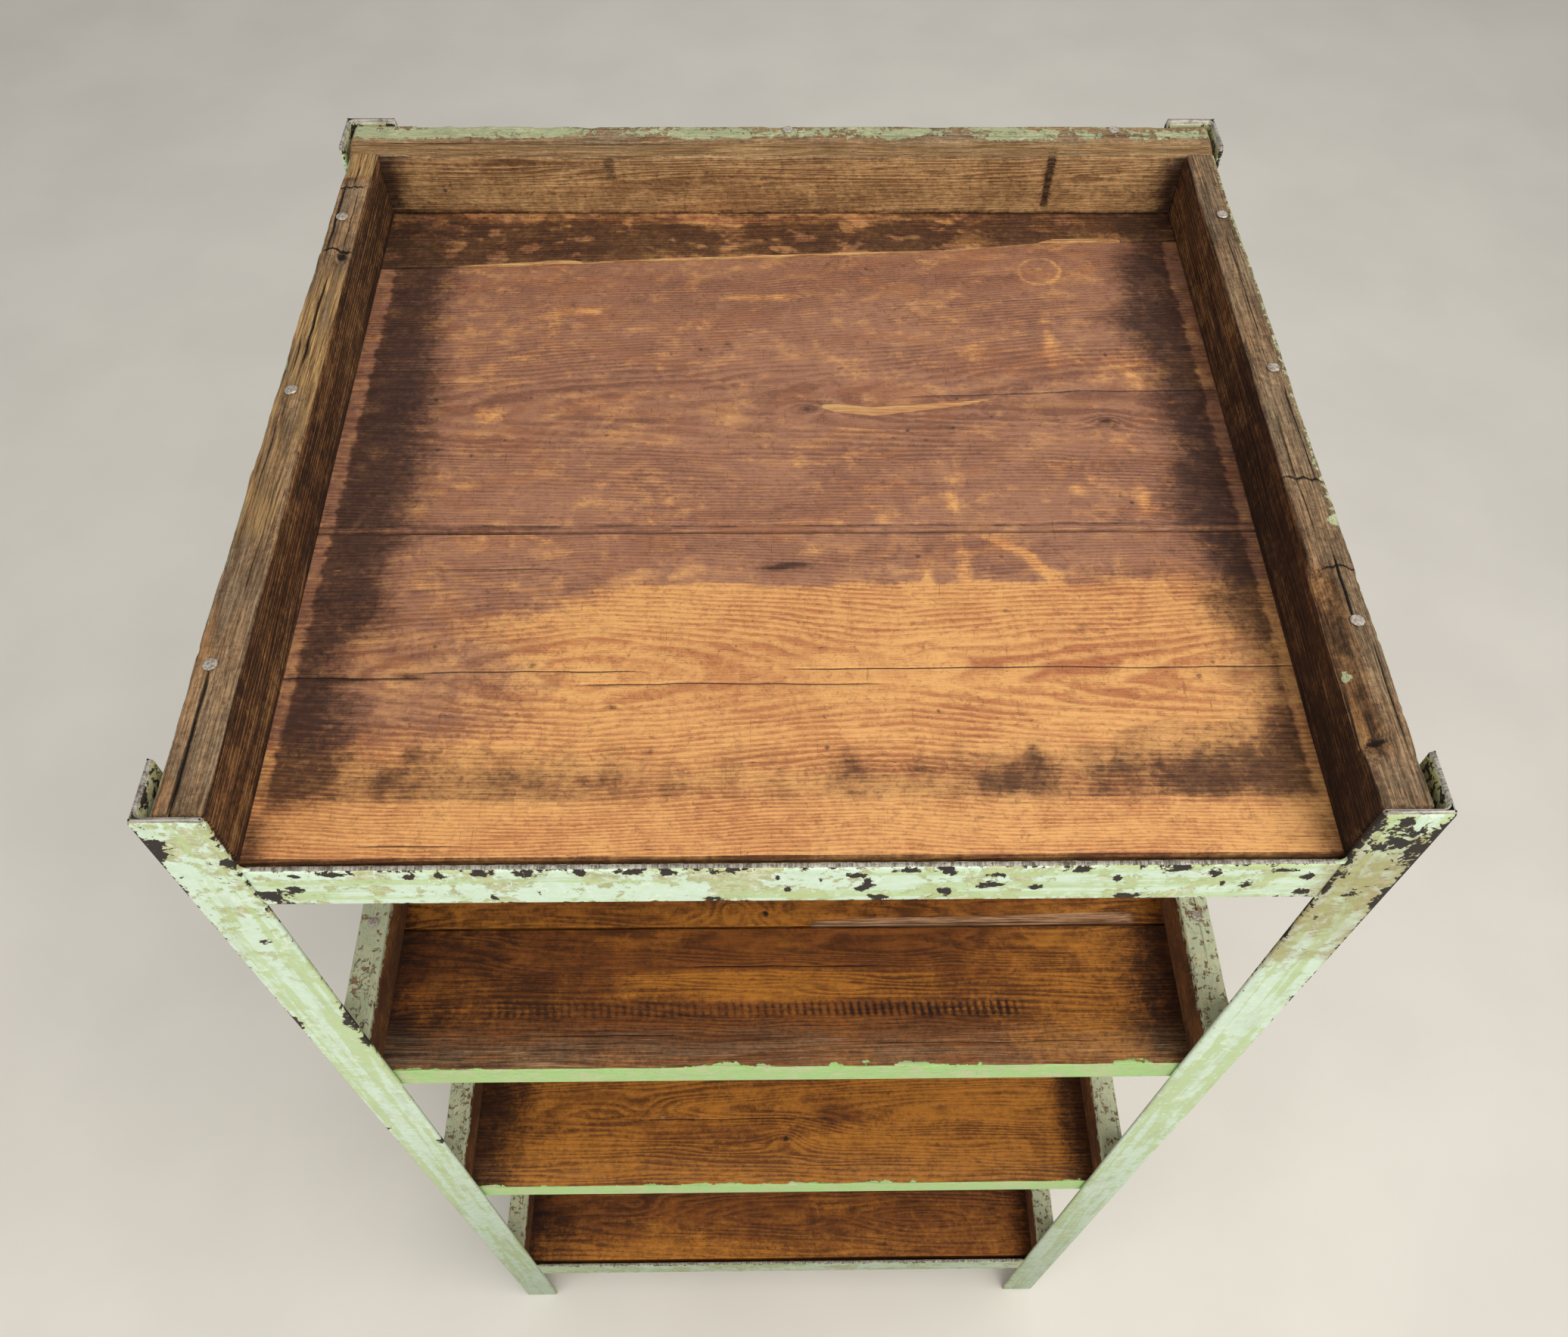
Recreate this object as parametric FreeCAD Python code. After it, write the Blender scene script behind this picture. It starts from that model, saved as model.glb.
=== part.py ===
import FreeCAD, Part
import os
from math import sqrt

# Potting bench: a welded equal-angle steel frame on four legs carries a deep plank tray on top and
# three plank shelves below it. All sizes are millimetres. Front is -Y, left is -X, the floor is Z = 0
# and the origin is on the floor under the middle of the frame.

# ---- driving dimensions ----------------------------------------------------------------------
WIDTH = 560.0            # across the outer faces of the legs
DEPTH = 510.0            # front face to back face of the legs
HEIGHT = 1105.0          # floor to the cut tops of the legs

LEG_FLANGE = 32.0        # both flanges of a leg
RAIL_FACE = 34.5         # upright flange of a rail
RAIL_LEDGE = 32.0        # flat flange of a rail, which carries the planks
STEEL = 3.5              # wall of every angle bar, with its coats of paint
ROOT = 2.5               # inside corner of the rolled section
TOE = 1.5                # rounding on the inner side of each flange tip
HEEL = 0.8               # outside corner of the rolled section

TRAY_RAIL_TOP = 1058.0   # top of the rails round the tray
BASE_RAIL_TOP = 157.0    # top of the rails round the bottom shelf
SHELF_1_FLOOR = 767.0    # upper surface of the planks of each middle shelf
SHELF_2_FLOOR = 467.0

THICK_PLANK = 30.0       # planks that sit inside a full ring of rails
THIN_PLANK = 25.0        # planks of the two middle shelves
PLANK_GAP = 1.5          # open joint between neighbouring planks
PLANK_EDGE = 1.0         # eased edges of the planks
END_CLEARANCE = 2.5      # plank end to rail wall, which clears the root of the section
RING_CLEARANCE = 3.0     # plank side to rail wall, front and back, in a ring of rails
LEG_CLEARANCE = 0.5      # plank side to leg flange where a shelf has no front and rear rail

TRAY_WALL_FRONT = 25.0   # thickness of the tray's side boards at their front end
TRAY_WALL_REAR = 19.0    # and at their rear end
TRAY_WALL_RISE = 46.0    # their height above the tray floor
TRAY_BACK = 30.0         # thickness of the tray's back board
TRAY_WALL_ROUND = 3.0    # worn upper edges of the tray boards
LIP = 19.0               # thickness of the shelves' lip boards
LIP_RISE = 40.0          # their height above the shelf floor
LIP_CLEARANCE = 1.0      # lip board to rail wall
LIP_ROUND = 1.5          # worn upper edges of the lip boards
BOARD_END_GAP = 1.0      # lip and side board front end to the leg flange
BUTT_GAP = 0.3           # side board to back board

FRONT_JOINT = 200.5      # first joint of the tray floor, from the front face of the frame
REAR_JOINT_LEFT = 421.0  # slanting second joint, at the left end of the planks
REAR_JOINT_RIGHT = 450.0 # and at the right end
SHELF_1_JOINTS = (100.0, 302.0)
SHELF_2_JOINTS = (252.0,)
BASE_JOINTS = (238.0,)

NAIL_SHANK = 3.2
NAIL_HEAD = 7.2
NAIL_HEAD_HEIGHT = 1.1
NAIL_BITE = 20.0         # how far a nail goes into the plank under its board
PILOT_CLEARANCE = 0.1    # nail shank to the wood round it, on the radius
TRAY_LEFT_NAILS = (82.0, 261.0, 410.0)    # distances from the front face of the frame
TRAY_RIGHT_NAILS = (104.0, 277.0, 412.0)
TRAY_BACK_NAILS = (3.0, 213.0)            # distances from the middle of the bench
TRAY_NAIL_INSET = 9.0    # side nails, from the outer face of their board
BACK_NAIL_INSET = 6.0    # back nails, from the rear face of their board
LIP_NAILS = (88.0, 250.0, 412.0)
LIP_BACK_NAILS = (-170.0, 0.0, 170.0)

BEAD_RADIUS = 2.2        # weld bead down the inside of each rail joint
FILLET_LEG = 5.0         # corner weld above and below each rail joint

# ---- derived levels and planes ---------------------------------------------------------------
SIDE = WIDTH / 2
FRONT = -DEPTH / 2
BACK = DEPTH / 2
LEDGE_DROP = RAIL_FACE - STEEL            # rail top down to the ledge that the planks lie on
TRAY_FLOOR = TRAY_RAIL_TOP - LEDGE_DROP + THICK_PLANK
BASE_FLOOR = BASE_RAIL_TOP - LEDGE_DROP + THICK_PLANK
SHELF_1_RAIL_TOP = SHELF_1_FLOOR - THIN_PLANK + LEDGE_DROP
SHELF_2_RAIL_TOP = SHELF_2_FLOOR - THIN_PLANK + LEDGE_DROP
PLANK_SIDE = SIDE - STEEL - END_CLEARANCE
RING_FRONT = FRONT + STEEL + RING_CLEARANCE
RING_BACK = BACK - STEEL - RING_CLEARANCE
OPEN_FRONT = FRONT + STEEL + LEG_CLEARANCE
OPEN_BACK = BACK - STEEL - LEG_CLEARANCE

X, Y, Z = FreeCAD.Vector(1, 0, 0), FreeCAD.Vector(0, 1, 0), FreeCAD.Vector(0, 0, 1)
SIN_45 = sqrt(0.5)


def save(node, solids):
    """Write one node, a single solid or a group of separate solids."""
    shape = solids[0] if len(solids) == 1 else Part.makeCompound(solids)
    shape.exportStep(f"parts/{node}.step")


# ---- steel -----------------------------------------------------------------------------------
def angle_bar(heel, along, length, flat, flat_width, upright, upright_width):
    """Rolled angle bar. Its heel edge starts at heel and runs along; its two flanges point flat and
    upright."""
    def at(u, v):
        return heel + flat * u + upright * v

    def arc(centre, radius, start, end, outward):
        middle = at(centre[0] + outward * radius * SIN_45, centre[1] + outward * radius * SIN_45)
        return Part.Arc(at(*start), middle, at(*end)).toShape()

    def line(start, end):
        return Part.makeLine(at(*start), at(*end))

    a, b, t = flat_width, upright_width, STEEL
    edges = [
        line((HEEL, 0), (a, 0)),
        line((a, 0), (a, t - TOE)),
        arc((a - TOE, t - TOE), TOE, (a, t - TOE), (a - TOE, t), 1),
        line((a - TOE, t), (t + ROOT, t)),
        arc((t + ROOT, t + ROOT), ROOT, (t + ROOT, t), (t, t + ROOT), -1),
        line((t, t + ROOT), (t, b - TOE)),
        arc((t - TOE, b - TOE), TOE, (t, b - TOE), (t - TOE, b), 1),
        line((t - TOE, b), (0, b)),
        line((0, b), (0, HEEL)),
        arc((HEEL, HEEL), HEEL, (0, HEEL), (HEEL, 0), -1),
    ]
    return Part.Face(Part.Wire(edges)).extrude(along * length)


def leg(side, rear):
    """Upright with its heel at an outer corner of the frame; side and rear are -1 or 1."""
    heel = FreeCAD.Vector(side * SIDE, rear * BACK, 0)
    return angle_bar(heel, Z, HEIGHT, X * -side, LEG_FLANGE, Y * -rear, LEG_FLANGE)


def cross_rail(top, rear):
    """Rail between two legs of the front (rear = -1) or back (rear = 1) face."""
    heel = FreeCAD.Vector(-SIDE + LEG_FLANGE, rear * BACK, top - RAIL_FACE)
    return angle_bar(heel, X, WIDTH - 2 * LEG_FLANGE, Y * -rear, RAIL_LEDGE, Z, RAIL_FACE)


def side_rail(top, side):
    """Rail between the front and back leg of one side."""
    heel = FreeCAD.Vector(side * SIDE, FRONT + LEG_FLANGE, top - RAIL_FACE)
    return angle_bar(heel, Y, DEPTH - 2 * LEG_FLANGE, X * -side, RAIL_LEDGE, Z, RAIL_FACE)


def half_round_bead(foot, inward, height):
    """Bead of weld metal that stands out half a circle from a wall."""
    bead = Part.makeCylinder(BEAD_RADIUS, height, foot, Z)
    wall_size = 4 * BEAD_RADIUS
    wall_centre = foot - inward * (wall_size / 2)
    wall = Part.makeBox(wall_size, wall_size, height, wall_centre - (X + Y) * (wall_size / 2))
    return bead.cut(wall)


def corner_weld(corner, along, upward, inward):
    """Small three-cornered fill between a leg's flange edge and a rail's upper or lower edge."""
    points = [corner, corner + along * FILLET_LEG, corner + Z * (upward * FILLET_LEG)]
    outline = Part.makePolygon(points + points[:1])
    return Part.Face(outline).extrude(inward * (STEEL - TOE))


def rail_joint(corner, along, inward, plank_top):
    """Weld metal at one rail end: the corner is on the outer face at the rail's lower edge."""
    bead_foot = corner + inward * STEEL + Z * (STEEL + ROOT)
    bead_height = plank_top - bead_foot.z - LEG_CLEARANCE
    return [half_round_bead(bead_foot, inward, bead_height),
            corner_weld(corner + Z * RAIL_FACE, along, 1, inward),
            corner_weld(corner, along, -1, inward)]


def cross_joints(top, plank_top):
    """Welds of the front and back rails at one level."""
    solids = []
    for rear in (-1, 1):
        for side in (-1, 1):
            corner = FreeCAD.Vector(side * (SIDE - LEG_FLANGE), rear * BACK, top - RAIL_FACE)
            solids += rail_joint(corner, X * -side, Y * -rear, plank_top)
    return solids


def side_joints(top, plank_top):
    """Welds of the left and right rails at one level."""
    solids = []
    for side in (-1, 1):
        for rear in (-1, 1):
            corner = FreeCAD.Vector(side * SIDE, rear * (BACK - LEG_FLANGE), top - RAIL_FACE)
            solids += rail_joint(corner, Y * -rear, X * -side, plank_top)
    return solids


# ---- wood ------------------------------------------------------------------------------------
def plank(front_left, front_right, back_left, back_right, top, thickness):
    """Floor plank across the bench, given the Y of its four corners."""
    outline = [FreeCAD.Vector(-PLANK_SIDE, front_left, 0), FreeCAD.Vector(PLANK_SIDE, front_right, 0),
               FreeCAD.Vector(PLANK_SIDE, back_right, 0), FreeCAD.Vector(-PLANK_SIDE, back_left, 0)]
    face = Part.Face(Part.makePolygon(outline + outline[:1]))
    face.translate(Z * (top - thickness))
    solid = face.extrude(Z * thickness)
    long_edges = [edge for edge in solid.Edges if edge.Length > PLANK_SIDE]
    return solid.makeChamfer(PLANK_EDGE, long_edges)


def plank_row(front, back, joints, top, thickness):
    """Straight planks laid side by side from front to back, with open joints between them."""
    half_gap = PLANK_GAP / 2
    cuts = [FRONT + joint for joint in joints]
    starts = [front] + [cut + half_gap for cut in cuts]
    ends = [cut - half_gap for cut in cuts] + [back]
    return [plank(start, start, end, end, top, thickness) for start, end in zip(starts, ends)]


def board(outline, foot, rise, rounding):
    """Upright board on a four-cornered outline of (x, y) points, with its two upper long edges rounded."""
    points = [FreeCAD.Vector(x, y, foot) for x, y in outline]
    solid = Part.Face(Part.makePolygon(points + points[:1])).extrude(Z * rise)
    long_side = max(edge.Length for edge in solid.Edges)
    upper = [edge for edge in solid.Edges
             if edge.Length > long_side / 2 and edge.CenterOfMass.z > foot + rise / 2]
    return solid.makeFillet(rounding, upper)


def side_board(side, outer, front_thickness, rear_thickness, front, back, foot, rise, rounding):
    """Board that stands along the left (-1) or right (1) ends of the planks."""
    outline = [(side * outer, front), (side * (outer - front_thickness), front),
               (side * (outer - rear_thickness), back), (side * outer, back)]
    return board(outline, foot, rise, rounding)


def back_board(half_length, thickness, back, foot, rise, rounding):
    """Board that stands along the rear of the planks."""
    outline = [(-half_length, back - thickness), (half_length, back - thickness),
               (half_length, back), (-half_length, back)]
    return board(outline, foot, rise, rounding)


# ---- nails -----------------------------------------------------------------------------------
def nail(x, y, seat, rise):
    """Flat-headed nail: its head rests on a board that stands rise above the plank it bites into."""
    top = FreeCAD.Vector(x, y, seat)
    shank = Part.makeCylinder(NAIL_SHANK / 2, rise + NAIL_BITE, top, -Z)
    head = Part.makeCylinder(NAIL_HEAD / 2, NAIL_HEAD_HEIGHT, top, Z)
    return head.fuse(shank).removeSplitter()


def drill(boards, places, seat, rise):
    """Open a pilot hole through the boards at each place."""
    radius = NAIL_SHANK / 2 + PILOT_CLEARANCE
    depth = rise + NAIL_BITE + PILOT_CLEARANCE
    holes = [Part.makeCylinder(radius, depth, FreeCAD.Vector(x, y, seat), -Z) for x, y in places]
    drilled = []
    for solid in boards:
        for hole in holes:
            if solid.BoundBox.intersect(hole.BoundBox):
                solid = solid.cut(hole)
        drilled.append(solid)
    return drilled


def nailed_level(name, planks, plank_names, sides, back, places, floor, rise):
    """Drill, nail and save the planks and the upright boards of one level."""
    seat = floor + rise
    wood = drill(planks + sides + [back], places, seat, rise)
    names = plank_names + ["side_left", "side_right", "back_board"]
    for part_name, solid in zip(names, wood):
        save(f"{name}_{part_name}", [solid])
    save(f"{name}_nails", [nail(x, y, seat, rise) for x, y in places])


def side_places(side, outer, inset, distances):
    """Nail places in a row along one side board, at distances from the front face of the frame."""
    return [(side * (outer - inset), FRONT + distance) for distance in distances]


def tray():
    """Top tray: three planks inside a ring of rails, with two side boards and a back board."""
    half_gap = PLANK_GAP / 2
    first = FRONT + FRONT_JOINT
    left, right = FRONT + REAR_JOINT_LEFT, FRONT + REAR_JOINT_RIGHT
    planks = [
        plank(RING_FRONT, RING_FRONT, first - half_gap, first - half_gap, TRAY_FLOOR, THICK_PLANK),
        plank(first + half_gap, first + half_gap, left - half_gap, right - half_gap, TRAY_FLOOR, THICK_PLANK),
        plank(left + half_gap, right + half_gap, RING_BACK, RING_BACK, TRAY_FLOOR, THICK_PLANK),
    ]
    back = back_board(PLANK_SIDE, TRAY_BACK, OPEN_BACK, TRAY_FLOOR, TRAY_WALL_RISE, TRAY_WALL_ROUND)
    front_end = FRONT + STEEL + BOARD_END_GAP
    rear_end = OPEN_BACK - TRAY_BACK - BUTT_GAP
    sides = [side_board(side, PLANK_SIDE, TRAY_WALL_FRONT, TRAY_WALL_REAR, front_end, rear_end, TRAY_FLOOR,
                        TRAY_WALL_RISE, TRAY_WALL_ROUND) for side in (-1, 1)]
    places = side_places(-1, PLANK_SIDE, TRAY_NAIL_INSET, TRAY_LEFT_NAILS)
    places += side_places(1, PLANK_SIDE, TRAY_NAIL_INSET, TRAY_RIGHT_NAILS)
    places += [(x, OPEN_BACK - BACK_NAIL_INSET) for x in TRAY_BACK_NAILS]
    names = ["plank_front", "plank_middle", "plank_rear"]
    nailed_level("tray", planks, names, sides, back, places, TRAY_FLOOR, TRAY_WALL_RISE)


def shelf(name, floor, thickness, front, back_edge, joints):
    """Shelf below the tray: planks with a thin lip board at each side and at the back."""
    planks = plank_row(front, back_edge, joints, floor, thickness)
    outer = SIDE - STEEL - LIP_CLEARANCE
    back = back_board(outer, LIP, OPEN_BACK, floor, LIP_RISE, LIP_ROUND)
    front_end = FRONT + STEEL + BOARD_END_GAP
    rear_end = OPEN_BACK - LIP - BUTT_GAP
    sides = [side_board(side, outer, LIP, LIP, front_end, rear_end, floor, LIP_RISE, LIP_ROUND)
             for side in (-1, 1)]
    places = side_places(-1, outer, LIP / 2, LIP_NAILS) + side_places(1, outer, LIP / 2, LIP_NAILS)
    places += [(x, OPEN_BACK - LIP / 2) for x in LIP_BACK_NAILS]
    names = [f"plank_{number}" for number in range(1, len(planks) + 1)]
    nailed_level(name, planks, names, sides, back, places, floor, LIP_RISE)


def frame():
    """Legs, rails and the weld metal that joins them."""
    for rear, end_name in ((-1, "front"), (1, "rear")):
        for side, side_name in ((-1, "left"), (1, "right")):
            save(f"leg_{end_name}_{side_name}", [leg(side, rear)])
    for name, top in (("tray", TRAY_RAIL_TOP), ("base", BASE_RAIL_TOP)):
        save(f"{name}_rail_front", [cross_rail(top, -1)])
        save(f"{name}_rail_rear", [cross_rail(top, 1)])
    levels = (("tray", TRAY_RAIL_TOP, TRAY_FLOOR), ("shelf_1", SHELF_1_RAIL_TOP, SHELF_1_FLOOR),
              ("shelf_2", SHELF_2_RAIL_TOP, SHELF_2_FLOOR), ("base", BASE_RAIL_TOP, BASE_FLOOR))
    for name, top, plank_top in levels:
        save(f"{name}_rail_left", [side_rail(top, -1)])
        save(f"{name}_rail_right", [side_rail(top, 1)])
        welds = side_joints(top, plank_top)
        if name in ("tray", "base"):
            welds += cross_joints(top, plank_top)
        save(f"{name}_welds", welds)


os.makedirs("parts", exist_ok=True)
frame()
tray()
shelf("shelf_1", SHELF_1_FLOOR, THIN_PLANK, OPEN_FRONT, OPEN_BACK, SHELF_1_JOINTS)
shelf("shelf_2", SHELF_2_FLOOR, THIN_PLANK, OPEN_FRONT, OPEN_BACK, SHELF_2_JOINTS)
shelf("base", BASE_FLOOR, THICK_PLANK, RING_FRONT, RING_BACK, BASE_JOINTS)
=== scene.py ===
import math

import bpy
import numpy as np
from mathutils import Matrix, Vector


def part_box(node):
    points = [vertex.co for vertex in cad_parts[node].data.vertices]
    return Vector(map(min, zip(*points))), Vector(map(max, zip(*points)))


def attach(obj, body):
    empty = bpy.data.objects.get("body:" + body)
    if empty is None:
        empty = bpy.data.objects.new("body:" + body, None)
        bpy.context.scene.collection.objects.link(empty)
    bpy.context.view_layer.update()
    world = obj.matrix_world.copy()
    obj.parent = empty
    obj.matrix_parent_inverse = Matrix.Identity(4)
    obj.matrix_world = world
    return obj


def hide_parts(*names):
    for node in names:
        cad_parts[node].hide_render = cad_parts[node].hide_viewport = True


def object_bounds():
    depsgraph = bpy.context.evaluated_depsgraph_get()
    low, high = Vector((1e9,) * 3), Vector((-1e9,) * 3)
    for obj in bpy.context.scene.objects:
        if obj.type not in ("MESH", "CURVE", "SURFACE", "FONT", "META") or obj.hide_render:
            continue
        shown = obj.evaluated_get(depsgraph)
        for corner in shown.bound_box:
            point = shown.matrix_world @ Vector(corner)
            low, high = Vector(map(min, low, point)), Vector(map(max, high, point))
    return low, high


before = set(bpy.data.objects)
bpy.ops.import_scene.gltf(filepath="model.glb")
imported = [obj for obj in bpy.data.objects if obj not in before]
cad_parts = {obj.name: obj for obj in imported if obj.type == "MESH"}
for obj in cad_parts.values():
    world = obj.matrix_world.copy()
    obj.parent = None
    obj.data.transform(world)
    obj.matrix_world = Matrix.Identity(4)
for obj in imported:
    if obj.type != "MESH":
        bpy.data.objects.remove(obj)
cad_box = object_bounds()

# Potting bench: painted angle steel, worn softwood planks and boards, weld metal and nails. Lengths
# are metres unless a name or comment says otherwise. Front is -Y, left is -X, the floor is Z = 0.

MM = 0.001
FRONT = cad_box[0].y
BACK = cad_box[1].y
SIDE = cad_box[1].x
FRONT_MM = FRONT / MM
QUARTER = math.pi / 2


# ---- colours ---------------------------------------------
def rgb(red, green, blue):
    """Linear colour from the usual 0 to 255 values."""
    def linear(value):
        value /= 255
        return value / 12.92 if value <= 0.04045 else ((value + 0.055) / 1.055) ** 2.4
    return (linear(red), linear(green), linear(blue), 1.0)


BLACK_GRIME = rgb(34, 25, 20)
CHIP = rgb(33, 26, 22)
MINT = rgb(213, 235, 220)
CREAM = rgb(206, 206, 170)
OLIVE = rgb(166, 166, 112)
APPLE = rgb(178, 204, 138)
BARE_STEEL = rgb(186, 182, 174)
WORN_GREEN = rgb(176, 184, 146)
CRACK = rgb(22, 15, 11)
COAT_DIRT = rgb(104, 92, 66)
WEATHERED = (rgb(186, 162, 130), rgb(112, 92, 72))


# ---- smooth random fields on points ----------------------
def lattice(cell, seed):
    """Repeatable random value from -1 to 1 for each whole-number point."""
    mixed = cell[..., 0] * 374761393 + cell[..., 1] * 668265263 + cell[..., 2] * 1103515245
    mixed = (mixed + seed * 1442695041) & 0xFFFFFFFF
    mixed = ((mixed ^ (mixed >> 13)) * 1274126177) & 0xFFFFFFFF
    return ((mixed ^ (mixed >> 16)) & 0xFFFF) / 32767.5 - 1


def noise(points, size, seed, octaves=2):
    """Smooth noise from about -1 to 1 whose features are size = (x, y, z) millimetres across."""
    total, weight, share = 0.0, 0.0, 1.0
    for octave in range(octaves):
        scaled = points / (np.array(size) * MM) * 2 ** octave + 17.3 * (octave + 1)
        base = np.floor(scaled).astype(np.int64)
        part = scaled - base
        part = part * part * (3 - 2 * part)
        value = 0.0
        for corner in range(8):
            step = np.array([corner & 1, corner >> 1 & 1, corner >> 2 & 1])
            weights = np.where(step == 1, part, 1 - part).prod(axis=-1)
            value = value + weights * lattice(base + step, seed + octave)
        total = total + value * share
        weight += share
        share /= 2
    return total / weight


def unit(value):
    """The value kept between 0 and 1."""
    return np.clip(value, 0, 1)


def rise(value, low, high):
    """Smooth step from 0 at low to 1 at high."""
    t = unit((value - low) / (high - low))
    return t * t * (3 - 2 * t)


def within(value, low, high, edge):
    """1 between low and high, with soft edges."""
    return rise(value, low - edge, low + edge) * (1 - rise(value, high - edge, high + edge))


def peak(value, centre, radius):
    """Soft line, 1 where the value is centre."""
    return np.exp(-((value - centre) / radius) ** 2)


def spot(x, y, centre_x, centre_y, radius_x, radius_y):
    """Soft round patch, 1 in the middle."""
    return np.exp(-((x - centre_x) / radius_x) ** 2 - ((y - centre_y) / radius_y) ** 2)


def spots(x, y, places):
    """Sum of soft patches, each with its strength before its place and radii."""
    return sum(strength * spot(x, y, *place) for strength, *place in places)


def from_front(points):
    """Distance from the front face of the frame, in millimetres."""
    return (points[..., 1] - FRONT) / MM


# ---- meshes ----------------------------------------------
AXES = {"X": np.array([[1, 0, 0], [0, 1, 0], [0, 0, 1]], float),
        "Y": np.array([[0, 1, 0], [1, 0, 0], [0, 0, 1]], float),
        "Z": np.array([[0, 0, 1], [1, 0, 0], [0, 1, 0]], float)}


def outline(low, high, rows, foot, top, rounding, side_step, foot_rounding=0.0006):
    """Closed outline of a board's section as points and outward normals. The upper face has one point
    for each of rows, the sides one for each side_step, and the lower face is coarse."""
    def arc(centre, radius, start, end, count=5):
        turns = np.linspace(start, end, count)
        normal = np.stack([np.cos(turns), np.sin(turns)], 1)
        return np.array(centre) + radius * normal, normal

    inner = rows[(rows > low + rounding * 1.2) & (rows < high - rounding * 1.2)]
    heights = np.arange(foot + foot_rounding + side_step, top - rounding - side_step / 2, side_step)
    edge = 4 * MM
    lower = np.linspace(high - edge, low + edge, 8)
    pieces = [
        arc((low + rounding, top - rounding), rounding, 2 * QUARTER, QUARTER),
        (np.stack([inner, np.full_like(inner, top)], 1), np.tile([0.0, 1.0], (len(inner), 1))),
        arc((high - rounding, top - rounding), rounding, QUARTER, 0),
        (np.stack([np.full_like(heights, high), heights[::-1]], 1), np.tile([1.0, 0.0], (len(heights), 1))),
        arc((high - foot_rounding, foot + foot_rounding), foot_rounding, 0, -QUARTER, 3),
        (np.stack([lower, np.full_like(lower, foot)], 1), np.tile([0.0, -1.0], (len(lower), 1))),
        arc((low + foot_rounding, foot + foot_rounding), foot_rounding, -QUARTER, -2 * QUARTER, 3),
        (np.stack([np.full_like(heights, low), heights], 1), np.tile([-1.0, 0.0], (len(heights), 1))),
    ]
    return np.concatenate([p for p, _ in pieces]), np.concatenate([n for _, n in pieces])


def steps(low, high, spacing, extra=()):
    """Positions from low to high at about the spacing, with the extra ones put in."""
    room = 0.5 * MM
    count = max(2, int(round((high - low) / spacing)) + 1)
    regular = np.linspace(low, high, count)
    if len(extra):
        extra = np.array(sorted(extra))
        nearest = np.abs(regular[:, None] - extra[None, :]).min(axis=1)
        keep = (nearest > room) | (regular == low) | (regular == high)
        regular = np.sort(np.concatenate([regular[keep], extra]))
    return regular


def stand(length, section, normals, axis):
    """Grid of points and outward normals: the section carried along length in the direction of axis."""
    turn = AXES[axis]
    count, around = len(length), len(section)
    local = np.empty((count, around, 3))
    local[..., 0] = length[:, None]
    local[..., 1:] = section[None]
    facing = np.zeros((count, around, 3))
    facing[..., 1:] = normals[None]
    return local @ turn, facing @ turn


def capped(grid):
    """The grid with its two ends closed by shrinking rings."""
    shares = (0.93, 0.8, 0.6, 0.35, 0.1)
    first, last = grid[0], grid[-1]
    start = [first.mean(0) + (first - first.mean(0)) * share for share in shares[::-1]]
    end = [last.mean(0) + (last - last.mean(0)) * share for share in shares]
    return np.concatenate([np.array(start), grid, np.array(end)])


def volume(points, faces):
    """Signed volume of a closed mesh of four-cornered faces."""
    a, b, c, d = (points[faces[:, i]] for i in range(4))
    return (np.einsum("ij,ij->i", a, np.cross(b, c)) + np.einsum("ij,ij->i", a, np.cross(c, d))).sum()


def grid_faces(count, around, start=0):
    """Faces between neighbouring rings of a grid whose rings are closed."""
    ring = np.arange(around)
    following = (ring + 1) % around
    first = start + np.arange(count - 1)[:, None] * around
    return np.stack([first + ring, first + following, first + around + following, first + around + ring],
                    axis=-1).reshape(-1, 4)


def make_object(name, shells, attributes, material, closed=True):
    """Mesh object from shells, each a grid of rings. Closed shells get one flat face at each end."""
    points, faces, caps, offset = [], [], [], 0
    for grid in shells:
        count, around = grid.shape[:2]
        flat = grid.reshape(-1, 3)
        sides = grid_faces(count, around)
        outward = volume(flat - flat.mean(0), sides) > 0
        sides = sides if outward else sides[:, ::-1]
        first = np.arange(around)
        last = first + (count - 1) * around
        if closed:
            caps += [(first[::-1] if outward else first) + offset,
                     (last if outward else last[::-1]) + offset]
        points.append(flat)
        faces.append(sides + offset)
        offset += len(flat)
    points, faces = np.concatenate(points), np.concatenate(faces)
    mesh = bpy.data.meshes.new(name)
    corners = np.concatenate([faces.ravel(), *caps])
    sizes = np.concatenate([np.full(len(faces), 4), np.array([len(cap) for cap in caps], int)])
    starts = np.concatenate([[0], np.cumsum(sizes)[:-1]])
    mesh.vertices.add(len(points))
    mesh.vertices.foreach_set("co", points.astype(np.float32).ravel())
    mesh.loops.add(len(corners))
    mesh.loops.foreach_set("vertex_index", corners.astype(np.int32))
    mesh.polygons.add(len(sizes))
    mesh.polygons.foreach_set("loop_start", starts.astype(np.int32))
    mesh.polygons.foreach_set("use_smooth", np.ones(len(sizes), bool))
    mesh.update(calc_edges=True)
    mesh.validate()
    for label, values in attributes.items():
        layer = mesh.attributes.new(label, "FLOAT", "POINT")
        layer.data.foreach_set("value", np.asarray(values, np.float32).ravel())
    piece = bpy.data.objects.new(name, mesh)
    bpy.context.scene.collection.objects.link(piece)
    mesh.materials.append(material)
    return piece


def put(piece, slot, *nodes):
    """The piece stands for CAD nodes and rides on the bench."""
    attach(piece, "root")
    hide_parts(*nodes)


# ---- material building -----------------------------------
def connect(tree, item, slot):
    """Feed a node's input with a value, a socket or a plain number or colour."""
    if isinstance(item, Value):
        item = item.socket
    if isinstance(item, bpy.types.NodeSocket):
        tree.links.new(item, slot)
    else:
        slot.default_value = item


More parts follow.
